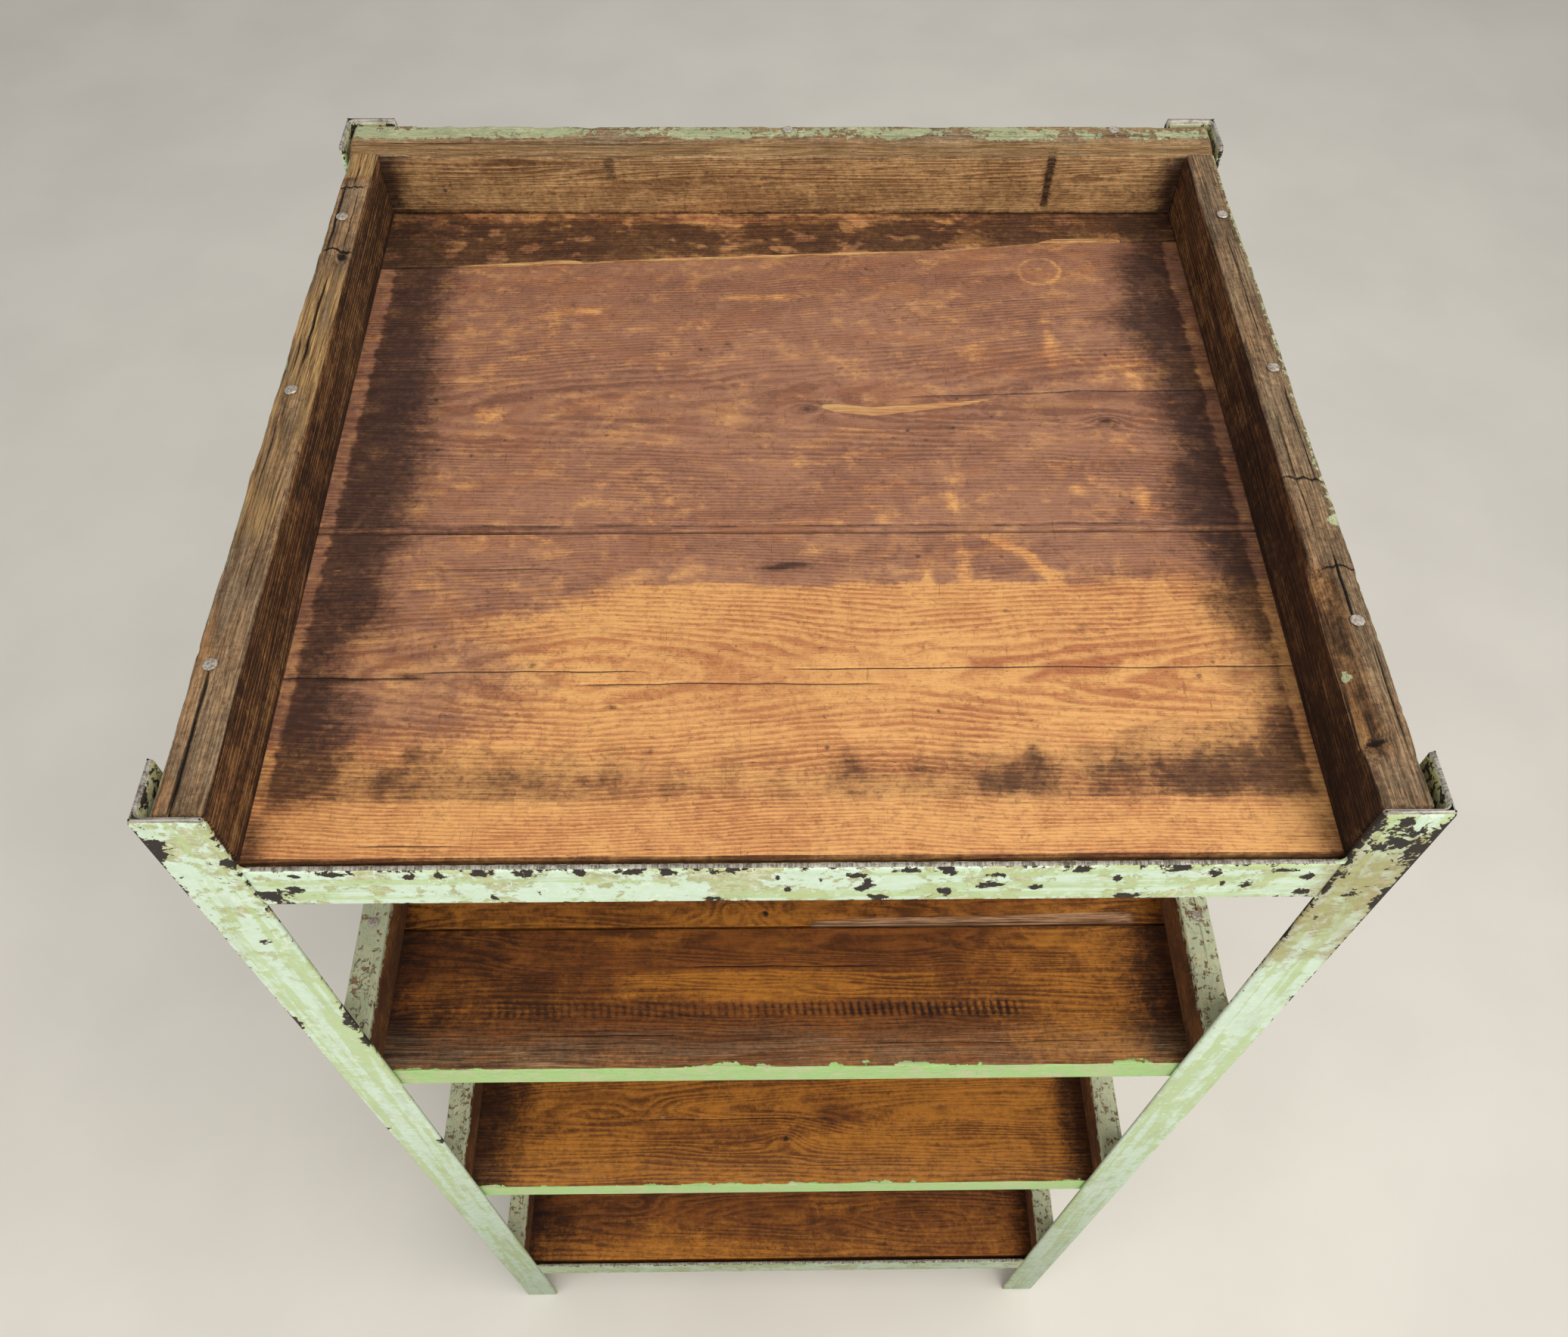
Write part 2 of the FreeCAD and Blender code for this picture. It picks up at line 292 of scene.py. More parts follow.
class Value:
    """A number in a material's node tree, which takes part in arithmetic."""

    def __init__(self, tree, socket):
        self.tree, self.socket = tree, socket

    def math(self, operation, *others):
        node = self.tree.nodes.new("ShaderNodeMath")
        node.operation = operation
        for slot, item in zip(node.inputs, (self, *others)):
            connect(self.tree, item, slot)
        return Value(self.tree, node.outputs[0])

    def __add__(self, other):
        return self.math("ADD", other)

    def __sub__(self, other):
        return self.math("SUBTRACT", other)

    def __mul__(self, other):
        return self.math("MULTIPLY", other)

    def most(self, other):
        return self.math("MAXIMUM", other)

    def fraction(self):
        return self.math("FRACT")

    def swing(self, amount):
        """The difference from the middle value 0.5, times the amount."""
        return (self - 0.5) * amount

    def step(self, low, high, start=0.0, end=1.0):
        """Smooth step from start at low to end at high."""
        node = self.tree.nodes.new("ShaderNodeMapRange")
        node.interpolation_type = "SMOOTHSTEP"
        for slot, item in zip(node.inputs, (self, low, high, start, end)):
            connect(self.tree, item, slot)
        return Value(self.tree, node.outputs[0])


class Surface:
    """A material under construction. Its colour is what has been laid over it so far."""

    def __init__(self, name, grain="X", shift=0.0):
        self.material = bpy.data.materials.new(name)
        self.material.use_nodes = True
        self.tree = self.material.node_tree
        self.shader = self.tree.nodes["Principled BSDF"]
        self.place = self.tree.nodes.new("ShaderNodeTexCoord").outputs["Object"]
        self.grain, self.shift, self.colour = grain, shift, None

    def attribute(self, label):
        node = self.tree.nodes.new("ShaderNodeAttribute")
        node.attribute_name = label
        return Value(self.tree, node.outputs["Fac"])

    def height(self):
        """Height above the floor."""
        node = self.tree.nodes.new("ShaderNodeSeparateXYZ")
        self.tree.links.new(self.place, node.inputs[0])
        return Value(self.tree, node.outputs[2])

    def pattern(self, kind, size, at):
        """Texture node whose features are size = (x, y, z) millimetres across, or one size for all."""
        sizes = size if isinstance(size, tuple) else (size,) * 3
        shift = self.shift + at
        mapping = self.tree.nodes.new("ShaderNodeMapping")
        self.tree.links.new(self.place, mapping.inputs["Vector"])
        mapping.inputs["Scale"].default_value = [1 / (each * MM) for each in sizes]
        mapping.inputs["Location"].default_value = (shift, shift * 1.7, shift * 0.6)
        node = self.tree.nodes.new(kind)
        self.tree.links.new(mapping.outputs[0], node.inputs["Vector"])
        node.inputs["Scale"].default_value = 1.0
        return node

    def noise(self, size, detail=3.0, roughness=0.55, distortion=0.0, at=0.0):
        """Soft noise from 0 to 1. at keeps it apart from the surface's other noises."""
        node = self.pattern("ShaderNodeTexNoise", size, at)
        node.inputs["Detail"].default_value = detail
        node.inputs["Roughness"].default_value = roughness
        node.inputs["Distortion"].default_value = distortion
        return Value(self.tree, node.outputs["Fac"])

    def streaky(self, length, across, *rest, at):
        """Noise drawn out along the grain."""
        return self.noise(along(self.grain, length, across), *rest, at=at)

    def cells(self, size, at):
        """Distance to the nearest of scattered points."""
        node = self.pattern("ShaderNodeTexVoronoi", size, at)
        return Value(self.tree, node.outputs["Distance"])

    def blend(self, amount, first, second, kind="MIX"):
        """Colour that goes from first to second as amount goes from 0 to 1."""
        node = self.tree.nodes.new("ShaderNodeMix")
        node.data_type = "RGBA"
        node.blend_type = kind
        for index, item in ((0, amount), (6, first), (7, second)):
            connect(self.tree, item, node.inputs[index])
        return node.outputs[2]

    def over(self, amount, colour, kind="MIX"):
        """Lay a colour over the surface."""
        self.colour = self.blend(amount, self.colour, colour, kind)

    def finish(self, roughness, height, depth, metallic=None, specular=0.5):
        """Connect the results. The bump's full height is depth millimetres."""
        inputs = self.shader.inputs
        bump = self.tree.nodes.new("ShaderNodeBump")
        bump.inputs["Distance"].default_value = depth * MM
        connect(self.tree, height, bump.inputs["Height"])
        connect(self.tree, bump.outputs[0], inputs["Normal"])
        connect(self.tree, self.colour, inputs["Base Color"])
        connect(self.tree, roughness, inputs["Roughness"])
        if metallic is not None:
            connect(self.tree, metallic, inputs["Metallic"])
        inputs["Specular IOR Level"].default_value = specular
        return self.material


# ---- wood ------------------------------------------------
def along(axis, length, across):
    """Noise size that is long in the direction of the grain."""
    return tuple(length if name == axis else across for name in "XYZ")


def figure(s, honey, mauve, contrast, streaks):
    """Growth rings in the wood's two tones, each an (early wood, late wood) pair of colours."""
    plain = s.attribute("plain")
    phase = (s.attribute("ring") + s.fibre.swing(0.35) + s.mottle.swing(0.3)).fraction()
    band = phase.step(0.05, 0.7) * phase.step(0.78, 1.0, 1.0, 0.0)
    strength = (s.broad + s.patch.swing(0.6)).step(0.36, 0.66, 0.7, 1.15)
    share = (band * strength * (plain * -1.0 + 1.0) * contrast + plain * 0.3 + s.fibre.swing(streaks)
             + s.broad.swing(1.2) + s.mottle.swing(1.1) + s.patch.swing(0.9))
    late_share = share.step(-0.25, 0.95)
    light = s.blend(late_share, *honey)
    dark = s.blend(late_share, *mauve)
    warm = (s.streaky(34, 20, 6, 0.66, 1.1, at=11) + s.mottle.swing(0.3)).step(0.5, 0.68)
    dark = s.blend(warm * 0.55, dark, s.blend(0.35, light, dark))
    redder = s.streaky(60, 26, 5, 0.62, 0.8, at=13).step(0.5, 0.66)
    dark = s.blend(redder * 0.4, dark, s.blend(0.6, mauve[1], honey[1]))
    tone = s.attribute("tone") + s.patch.swing(0.8) + s.fibre.swing(0.5) + s.mottle.swing(0.5)
    tone = tone.step(0.14, 0.86)
    s.colour = s.blend(tone, light, dark)
    return band, s.blend(tone, honey[0], mauve[0])


def small_wear(s, scuffs, pale, early):
    """Dust in the fibres, rubbed patches, scratches across the grain, nicks and chafing along it."""
    dust = s.pores.step(0.54, 0.74) * 0.3 + (s.mottle + s.fine.swing(0.5)).step(0.53, 0.7) * 0.24
    s.over(dust + (s.fibre + s.mottle.swing(0.5)).step(0.52, 0.72) * 0.16, BLACK_GRIME)
    rubbed = (s.patch + s.mottle.swing(0.5) + s.fine.swing(0.3)).step(0.56, 0.7)
    s.over(rubbed * scuffs * 0.5, early)
    across = (0.7, 19, 19) if s.grain == "X" else (19, 0.7, 19)
    scratch = s.noise(across, 2, 0.5, 1.6, at=6).step(0.66, 0.74) * s.patch.step(0.44, 0.6) * scuffs
    s.over(scratch * 0.5, BLACK_GRIME)
    nick = s.streaky(5.5, 1.2, 4, 0.7, 0.9, at=12).step(0.62, 0.7)
    nick = nick * (s.broad + s.patch.swing(0.7)).step(0.44, 0.58) * scuffs
    s.over(nick * 0.8, BLACK_GRIME)
    chafe = s.streaky(6, 1.5, 4, 0.72, 1.2, at=14).step(0.64, 0.74)
    chafe = chafe * (s.patch + s.broad.swing(0.6)).step(0.46, 0.62) * scuffs
    s.over(chafe * 0.5, pale)
    return scratch, nick


def damage(s, scuffs, soak_shade_and_sheen, pale, late):
    """Water stains with painted shade and, on the tray, a painted sheen; dark specks, grey weathering, torn
    wood with a patch of painted sheen, and cracks.
    """
    stain_and_shade, weather, torn_and_sheen, crack = (s.attribute(label) for label in ("stain_and_shade", "grey", "pale", "dark"))
    ragged = s.patch.swing(0.6) + s.fibre.swing(0.8) + s.mottle.swing(0.6)
    ragged = stain_and_shade + ragged * stain_and_shade.step(0.0, 0.5, 0.4, 1.0)
    # Where the stain mark is high the wood is darkened: real stains, and painted shade on the inner faces
    # of boards.
    darkened = ragged.step(0.0, 1.05) * stain_and_shade.step(0.0, 0.2)
    s.over(darkened, soak_shade_and_sheen, "MULTIPLY")
    s.over(darkened.step(0.5, 1.0) * (s.mottle * 0.5 + 0.06), BLACK_GRIME)
    speck = (s.cells(17, at=7) + s.fine.swing(0.12)).step(0.05, 0.1, 1.0, 0.0) * s.broad.step(0.45, 0.55)
    s.over(speck * 0.7 * scuffs, BLACK_GRIME)
    grey = (s.streaky(50, 1.8, 5, 0.68, at=8) + weather * 0.35).step(0.42, 0.78) * weather
    s.over(grey * 0.8, s.blend((s.fibre + s.mottle.swing(0.4)).step(0.36, 0.62), *WEATHERED))
    torn_and_sheen_mask = (torn_and_sheen + s.fibre.swing(0.9) + s.mottle.swing(0.3)).step(0.3, 0.7) * torn_and_sheen.step(0.01, 0.2)
    s.over(torn_and_sheen_mask * 0.9, s.blend(s.fibre.step(0.36, 0.66), pale, late))
    crack_mask = (crack + s.fine.swing(0.2) + s.fibre.swing(0.3)).step(0.12, 0.55) * crack.step(0.0, 0.1)
    s.over(crack_mask * 0.95, CRACK)
    return darkened, torn_and_sheen_mask, crack_mask


def old_coat(s, paint):
    """Flaking paint on wood."""
    coat = s.attribute("paint")
    flake = s.noise(4.6, 7, 0.7, 0.5, at=9)
    mask = (coat + flake.swing(1.7) + s.fibre.swing(0.6)).step(0.47, 0.53) * coat.step(0.02, 0.1)
    colour = s.blend(s.patch.step(0.42, 0.62), paint, s.blend(s.mottle.step(0.4, 0.6), paint, CREAM))
    s.over(mask, s.blend(s.mottle.step(0.55, 0.75) * 0.4, colour, COAT_DIRT))
    return mask


def wood(name, grain, honey, mauve, pale=rgb(222, 182, 122), paint=WORN_GREEN, soak_shade_and_sheen=rgb(122, 106, 104),
         contrast=0.7, streaks=0.8, rough=(0.42, 0.62), relief=0.35, scuffs=0.5, specular=0.45, shift=0.0):
    """Softwood. The mesh's attributes say where its rings, stains and painted shade, torn wood and painted
    sheen, cracks and paint are.
    """
    s = Surface(name, grain, shift)
    s.fibre = s.streaky(38, 0.9, 5, 0.72, at=1)
    s.pores = s.streaky(7, 0.38, 3, 0.6, at=2)
    s.broad = s.streaky(95, 24, 4, 0.6, 0.3, at=3)
    s.patch = s.noise(17, 7, 0.68, 0.6, at=4)
    s.mottle = s.noise(3.6, 6, 0.72, 0.5, at=5)
    s.fine = s.noise(1.1, 3, 0.6, at=10)
    band, early = figure(s, honey, mauve, contrast, streaks)
    scratch, nick = small_wear(s, scuffs, pale, early)
    darkened, torn_and_sheen, crack = damage(s, scuffs, soak_shade_and_sheen, pale, honey[1])
    coat = old_coat(s, paint)
    roughness = (s.fibre.step(0.3, 0.7, *rough) + s.patch.step(0.3, 0.7, -0.06, 0.1) + coat * 0.04
                 + darkened * 0.1)
    height = (band * -0.3 + s.fibre * 0.8 + s.pores.step(0.5, 0.8) * -0.6 + scratch * -0.6 + s.mottle * 0.45
              + nick * -0.8 + coat * 0.9 - crack * 0.8 + torn_and_sheen * s.fibre * 1.2)
    return s.finish(roughness, height, relief, specular=specular)


# ---- steel -----------------------------------------------
def old_green(s):
    """Layers of old green paint, yellowed, streaked, dirty and rust-stained, and darkened towards the floor
    by painted shade.
    """
    rust = s.attribute("rust")
    s.colour = s.blend(s.mottle.step(0.35, 0.65), MINT, rgb(204, 228, 202))
    cream = (s.blotch + s.mottle.swing(0.5) + s.wide.swing(0.5)).step(0.53, 0.56)
    cream = cream * (s.attribute("smooth") * -0.8 + 1.0)
    s.over(cream * 0.85, s.blend(s.mottle.step(0.4, 0.6), CREAM, OLIVE))
    leaf = (s.streaky(150, 7, 5, 0.6, 0.2, at=3) + s.blotch.swing(0.35)).step(0.47, 0.57)
    s.over(leaf * 0.75, s.blend(s.mottle.step(0.3, 0.7), APPLE, rgb(188, 208, 148)))
    white = s.noise(7, 5, 0.7, 0.6, at=6).step(0.585, 0.6) * 0.5
    s.over(white, rgb(232, 246, 230))
    dirt = s.streaky(40, 11, 5, 0.65, at=7).step(0.5, 0.8) * 0.3
    s.over(dirt, rgb(150, 146, 108))
    # Painted shade: the paint is darkened more and more towards the floor.
    s.over(s.height().step(0.0, 0.8, 0.75, 0.0), rgb(176, 178, 166), "MULTIPLY")
    darkened = (rust + s.blotch.swing(0.9)).step(0.35, 0.75) * rust.step(0.02, 0.2)
    s.over(darkened * 0.55, rgb(150, 122, 62))
    return cream, white, dirt


def painted_steel(name, grain, shift):
    """Painted steel. The mesh's attributes say where the paint is chipped, bare or rusty."""
    s = Surface(name, grain, shift)
    s.blotch = s.noise(16, 7, 0.66, 0.35, at=1)
    s.mottle = s.noise(5.5, 6, 0.7, 0.5, at=2)
    s.wide = s.noise(70, 3, 0.5, at=5)
    grit = s.noise(0.9, 3, 0.6, at=4)
    cream, white, dirt = old_green(s)

    chips = s.noise(6.5, 6, 0.66, 0.5, at=8)
    flecks = s.noise(2.2, 4, 0.6, 0.4, at=9)
    chance = s.attribute("chip") + chips.swing(2.4) + flecks.swing(0.8)
    chipped = chance.step(0.86, 0.89)
    rim = chance.step(0.79, 0.83) - chipped
    chipped = chipped.most(flecks.step(0.74, 0.76) * s.wide.step(0.5, 0.56))
    s.over(rim.most(0.0) * 0.8, rgb(172, 168, 120))
    s.over(chipped, s.blend(s.mottle.step(0.46, 0.7), CHIP, rgb(56, 44, 34)))

    scrape = (s.attribute("bare") + chips.swing(0.7) + grit.swing(0.25)).step(0.46, 0.56)
    lines = s.noise(along("Y" if grain == "X" else "X", 30, 0.8), 4, 0.7, at=10)
    steel = s.blend((lines + s.mottle.swing(0.6)).step(0.35, 0.65), BARE_STEEL, rgb(104, 98, 92))
    s.over(scrape, s.blend(s.mottle.step(0.56, 0.7) * 0.5, steel, rgb(84, 64, 50)))

    roughness = s.mottle.step(0.3, 0.7, 0.42, 0.56) + chipped * 0.25 + scrape * -0.08 + dirt * 0.3
    height = (s.blotch * 0.5 + s.mottle * 0.35 + cream * -0.22 + white * 0.2 + chipped * -1.1 + grit * 0.12
              + scrape * -0.5 + lines.swing(scrape) * 0.5)
    return s.finish(roughness, height, 0.45, metallic=scrape * 0.25)


def nail_metal():
    """Weathered nail heads."""
    s = Surface("nail_metal")
    spots = s.noise(1.2, 5, 0.65)
    broad = s.noise(9, 3, 0.5, at=3)
    s.colour = s.blend(spots.step(0.35, 0.65), rgb(206, 200, 192), rgb(132, 124, 116))
    s.over(broad.step(0.5, 0.7) * 0.5, rgb(104, 76, 54))
    return s.finish(spots.step(0.3, 0.7, 0.38, 0.6), spots, 0.25, metallic=broad.step(0.3, 0.7, 0.5, 0.3))


def floor_material():
    """Plain pale floor."""
    s = Surface("floor")
    cloud = s.noise(240, 4, 0.5)
    s.colour = s.blend(cloud.step(0.3, 0.7), rgb(232, 230, 226), rgb(238, 236, 232))
    return s.finish(cloud.step(0.3, 0.7, 0.7, 0.8), cloud, 0.2)


# ---- boards ----------------------------------------------
def y_from_front(line, place_is_y):
    """A crack or cut whose distances from the bench's front face are turned into Y."""
    place, start, end, *rest = line
    if place_is_y:
        return (place + FRONT_MM, start, end, *rest)
    return (place, start + FRONT_MM, end + FRONT_MM, *rest)


def padded(marks, count):
    """The marks of a grid to which count rings were added at each end."""
    return {label: np.pad(values, ((count, count), (0, 0)), "edge") for label, values in marks.items()}


class Board:
    """A board being shaped. Its grain runs along axis; a is the distance along it from the middle of
    the bench, b the distance across it. Cracks run along the grain and cuts across it, each (place,
    start, end, depth, wander) in millimetres, with x from the middle and y from the front face."""

    CRACK_REACH = 14
    KNOT_LENGTH = 1.8     # how much longer a knot is along the grain than across it

    def __init__(self, node, axis, spacings, rounding, cracks=(), cuts=(), half_crack=0.45):
        """spacings: between points along the board, across its upper face and up its sides."""
        low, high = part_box(node)
        self.node, self.axis, self.half_crack = node, axis, half_crack
        self.long, self.cross = (0, 1) if axis == "X" else (1, 0)
        self.ends = (low[self.long], high[self.long])
        self.sides = (low[self.cross], high[self.cross])
        self.foot, self.top = low.z, high.z
        cracks = [y_from_front(crack, axis == "X") for crack in cracks]
        cuts = [y_from_front(cut, axis == "Y") for cut in cuts]
        long_step, row_step, side_step = (spacing * MM for spacing in spacings)
        rows = steps(*self.sides, row_step, self.rows_of(cracks))
        section, normals = outline(*self.sides, rows, self.foot, self.top, rounding * MM, side_step)
        length = steps(*self.ends, long_step, self.rows_of(cuts))
        self.grid, self.facing = stand(length, section, normals, axis)
        self.base = self.grid.copy()
        self.up = unit(self.facing[..., 2])
        self.marks = {"dark": np.zeros(self.grid.shape[:2])}
        for crack in cracks:
            self.split(crack, self.cross)
        for cut in cuts:
            self.split(cut, self.long)

    def rows_of(self, lines):
        """The middle and the two sides of each crack or cut."""
        widths = (-self.half_crack, 0, self.half_crack)
        return [(line[0] + width) * MM for line in lines for width in widths]

    @property
    def a(self):
        return self.base[..., self.long]

    @property
    def b(self):
        return self.base[..., self.cross]

    def places(self):
        """x from the middle, y from the front face and z from the floor, in millimetres."""
        return self.base[..., 0] / MM, from_front(self.base), self.base[..., 2] / MM

    def noise(self, size, seed, octaves=3):
        return noise(self.base, size, seed, octaves)

    def mark(self, label, value):
        """Set a mark, kept between 0 and 1."""
        self.marks[label] = unit(value)

    def add(self, label, value):
        self.mark(label, self.marks[label] + value)

    def most(self, label, value):
        self.marks[label] = np.maximum(self.marks[label], value)

    def split(self, line, column):
        """Open a crack: its middle row sinks by depth, and the surface near it wanders in column."""
        place, start, end, depth, wander = line
        here, other = self.base[..., column], self.base[..., 1 - column]
        reach = within(other / MM, start, end, min(12.0, (end - start) / 4)) * (self.up > 0.3)
        off = here / MM - place
        sample = np.zeros_like(self.base)
        sample[..., 0] = other
        bend = 38 if column == self.cross else 9
        shift = noise(sample, (bend,) * 3, int(abs(place)) + 5, 3) * wander * MM
        self.grid[..., column] += shift * np.exp(-(off / self.CRACK_REACH) ** 2) * (self.up > 0.3)
        middle = np.abs(off) < 0.01
        beside = np.abs(np.abs(off) - self.half_crack) < 0.01
        self.grid[..., 2] -= depth * MM * reach * middle
        rim = 0.45 if self.half_crack > 0.5 else 0.2
        dark = np.where(middle, reach, np.where(beside, reach * rim, 0.0))
        self.most("dark", dark * min(1.0, 0.35 + 0.4 * depth))

    def sink(self, millimetres):
        """Move the surface inwards."""
        self.grid -= self.facing * (millimetres * MM)[..., None]

    def lower(self, millimetres):
        """Lower the upper face, and the upper part of the sides with it."""
        height = (self.base[..., 2] - self.foot) / (self.top - self.foot)
        self.grid[..., 2] -= millimetres * MM * unit(height) ** 5

    def narrow(self, side, millimetres):
        """Move one long face of the board inwards: side is -1 for the low one."""
        low, high = self.sides
        share = (self.b - low) / (high - low)
        self.grid[..., self.cross] -= side * millimetres * MM * unit(share if side > 0 else 1 - share)

    def wear_ends(self, radius):
        """Round the two ends."""
        gap = np.minimum(self.a - self.ends[0], self.ends[1] - self.a) / MM
        inside = np.clip(radius - gap, 0, radius)
        self.sink(radius - np.sqrt(np.maximum(radius ** 2 - inside ** 2, 0.0)))

    def rings(self, heart, pitch, tilt, warp, seed, reach, knots=()):
        """Growth rings round the log's heart line: heart = (b, height above the board's top). tilt is
        the line's slope or a function for its depth. Gives the late wood's share."""
        wander = self.noise(along(self.axis, *reach), seed) * warp
        swing = self.noise(along(self.axis, 150, 400), seed + 7, 2) * 5
        place, across = self.a / MM, self.b / MM
        fall = tilt(place) if callable(tilt) else -tilt * place
        drop = (self.base[..., 2] - self.top) / MM - heart[1] + fall
        radius = np.hypot(across - heart[0] + swing, drop) + wander
        for knot_place, knot_across, size, push in knots:
            far = np.hypot((place - knot_place) / size / self.KNOT_LENGTH, (across - knot_across) / size)
            radius += push / (1 + far ** 2)
        years = np.stack([radius, radius * 0, radius * 0], -1) * MM
        self.marks["ring"] = radius / pitch + 1.6 * noise(years, (17, 17, 17), seed + 9, 3)
        phase = self.marks["ring"] % 1
        return rise(phase, 0.2, 0.85) * (1 - rise(phase, 0.92, 1.0))

    def build(self, slot, material):
        """Close the ends and put the board in the bench."""
        grid = capped(self.grid)
        pad = (len(grid) - len(self.grid)) // 2
        marks = padded(self.marks, pad)
        put(make_object("worn_" + self.node, [grid], marks, material), slot, self.node)


# ---- tray floor ------------------------------------------
# Patches are (strength, x from the middle, y from the front face, radius in x, radius in y).
SMUDGES = (
    (0.35, -134, 48, 14, 8), (0.35, -90, 47, 10, 9), (0.3, -55, 43, 12, 6), (0.5, 26, 57, 6, 7),
    (0.28, 25, 48, 18, 8), (0.34, 60, 50, 9, 10), (0.6, 99, 44, 12, 7), (0.34, 100, 54, 22, 12),
    (0.42, 117, 60, 6, 12), (0.4, 154, 54, 14, 14), (0.55, 184, 50, 22, 13), (0.5, 212, 56, 22, 18),
    (0.4, 228, 50, 14, 12), (0.3, -180, 62, 10, 8), (0.35, -195, 48, 14, 8), (0.28, -150, 70, 9, 7),
    (0.7, 151, 136, 4.5, 3.4), (0.4, 204, 186, 11, 3.4), (0.3, -60, 188, 34, 5), (0.32, 28, 178, 36, 6),
    (0.42, 75, 186, 4.5, 6), (0.42, 102, 190, 10, 4), (0.35, 62, 169, 6, 4), (0.34, 113, 171, 16, 6),
    (0.34, 178, 170, 30, 5), (0.3, 185, 158, 30, 4), (0.3, -110, 163, 24, 3), (0.32, 222, 120, 14, 26),
    (0.42, 90, 286, 14, 9), (0.3, 92, 272, 10, 6), (0.3, -90, 290, 26, 7), (0.26, -40, 398, 34, 8),
    (0.42, -95, 408, 16, 6), (0.3, -60, 340, 14, 8), (0.3, 140, 314, 26, 4), (0.34, 138, 418, 12, 5),
    (0.3, 205, 366, 16, 10), (0.3, -185, 365, 6, 12), (0.24, 70, 392, 40, 3), (0.35, 178, 245, 8, 5),
    (0.3, 60, 412, 30, 5), (0.3, -180, 243, 6, 3), (0.22, -150, 270, 24, 6), (0.25, 30, 240, 60, 4))
KNOTS = (
    (1, -8, 175, 11, 2.4), (1, 4, 177.5, 9, 1.8), (1, 12, 301, 7, 4.5), (1, 185, 284, 7, 4),
    (1, -188, 107, 7, 2.4), (1, -228, 105, 24, 1.6), (1, -35, 362, 3, 3), (1, -129, 113, 2.4, 2.4),
    (1, -88, 88, 2.6, 1.8), (1, -68, 63, 2.2, 2))
WORN_LIGHT = (
    (0.7, 90, 222, 4, 7), (0.7, 196, 222, 4, 7), (0.5, -120, 398, 14, 5), (0.3, -118, 186, 22, 4),
    (0.5, -140, 385, 6, 12), (0.5, 112, 352, 10, 4), (0.6, -10, 408, 30, 3), (0.5, 160, 350, 4, 30),
    (0.5, -170, 300, 12, 6), (0.45, 205, 330, 20, 14), (0.45, -160, 330, 14, 4), (0.5, 160, 232, 4, 5))


def side_stains(x, y, board):
    """Black water stains down both sides of the tray floor."""
    wobble = board.noise((22, 9, 22), 11) * 5 + board.noise((26, 26, 26), 16, 2) * 3
    left_edge = np.interp(
        y, (20, 35, 48, 60, 73, 86, 96, 104, 112, 125, 132, 150, 163, 189, 200, 250, 330, 421),
        (-245, -222, -211, -210, -213, -216, -217, -222, -229, -224, -212, -209, -211, -209, -201, -203,
         -206, -212)) + wobble
    left = (1 - rise(x - left_edge, -16, 22)) * rise(y, 20, 40)
    right_edge = np.interp(
        y, (30, 38, 60, 76, 90, 112, 127, 137, 153, 163, 189, 205, 232, 260, 335, 372, 410, 450),
        (226, 217, 222, 228, 241, 240, 236, 227, 217, 224, 221, 214, 212, 221, 221, 202, 214, 224)) + wobble
    right = rise(x - right_edge, -24, 15) * rise(y, 26, 42)
    clear = rise(np.abs(x) + board.noise((60, 4, 60), 12, 2) * 2.2, 243.5, 246.5)
    sides = np.maximum(left, right) * (1 - 0.66 * clear) * (0.9 + 0.1 * wobble / 8)
    corners = 0.75 * rise(np.abs(x), 232, 247) * (1 - rise(y, 22, 36)) * (0.6 + 0.4 * rise(-x, 0, 1))
    return np.maximum(sides, corners)


def tray_stains(x, y, board):
    """All the dark stains of the tray floor: its sides, a band near the front, smudges and knots."""
    columns = rise(board.noise((9, 40, 9), 14, 2), -0.5, 0.5)
    reach = 35.5 + 1.5 * board.noise((16, 300, 16), 17, 2)
    band = within(y, reach, 60 + 8 * columns + 16 * rise(x, 130, 200), 2) * (0.34 + 0.2 * columns)
    band = band * (1 - 0.45 * rise(y, 44, 66)) * (0.8 + 0.4 * rise(np.abs(x + 20), 40, 130))
    band = band + 0.35 * peak(y, 33.2, 0.7) * within(x, -140, 250, 40)
    smudges = spots(x, y, SMUDGES) * (0.75 + 0.5 * board.noise((5, 5, 5), 18, 2))
    knots = np.minimum(spots(x, y, KNOTS), 1)
    return np.maximum(side_stains(x, y, board), band + smudges) + 0.75 * knots


def tray_tone(x, y, board):
    """Where the tray floor is red-brown (1) rather than honey (0)."""
    start = 164 + 3.5 * board.noise((18, 7, 18), 21) - 30 * rise(-x, 70, 170)
    soft = 3 + 20 * rise(-x, 50, 140) + 10 * rise(x, 150, 200)
    red = rise((y - start) / soft, -1, 1) * (0.84 + 0.4 * board.noise((9, 5, 9), 24, 2))
    bow = np.interp(y, (122, 140, 165, 185, 196), (143, 143, 140, 125, 106))
    bands = (spots(x, y, ((0.75, 92, 166, 4.5, 26), (0.6, 73, 160, 3.5, 20)))
             + 0.85 * peak(x, bow, 5) * within(y, 124, 198, 4))
    red = red * (1 - bands) * (1 - 0.6 * spot(x, y, 195, 148, 22, 14))
    warm = (0.7 * rise(-x, 70, 190) * within(y, 62, 160, 20)
            + 0.3 * rise(x, 190, 230) * within(y, 60, 160, 20))
    patches = board.noise((30, 16, 30), 23) * 0.22
    ring_mark = np.hypot((x - 162) / 13, (y - 422) / 13)
    light = spots(x, y, WORN_LIGHT) + 0.45 * peak(ring_mark, 1, 0.08)
    return np.maximum(red, warm) + patches - light


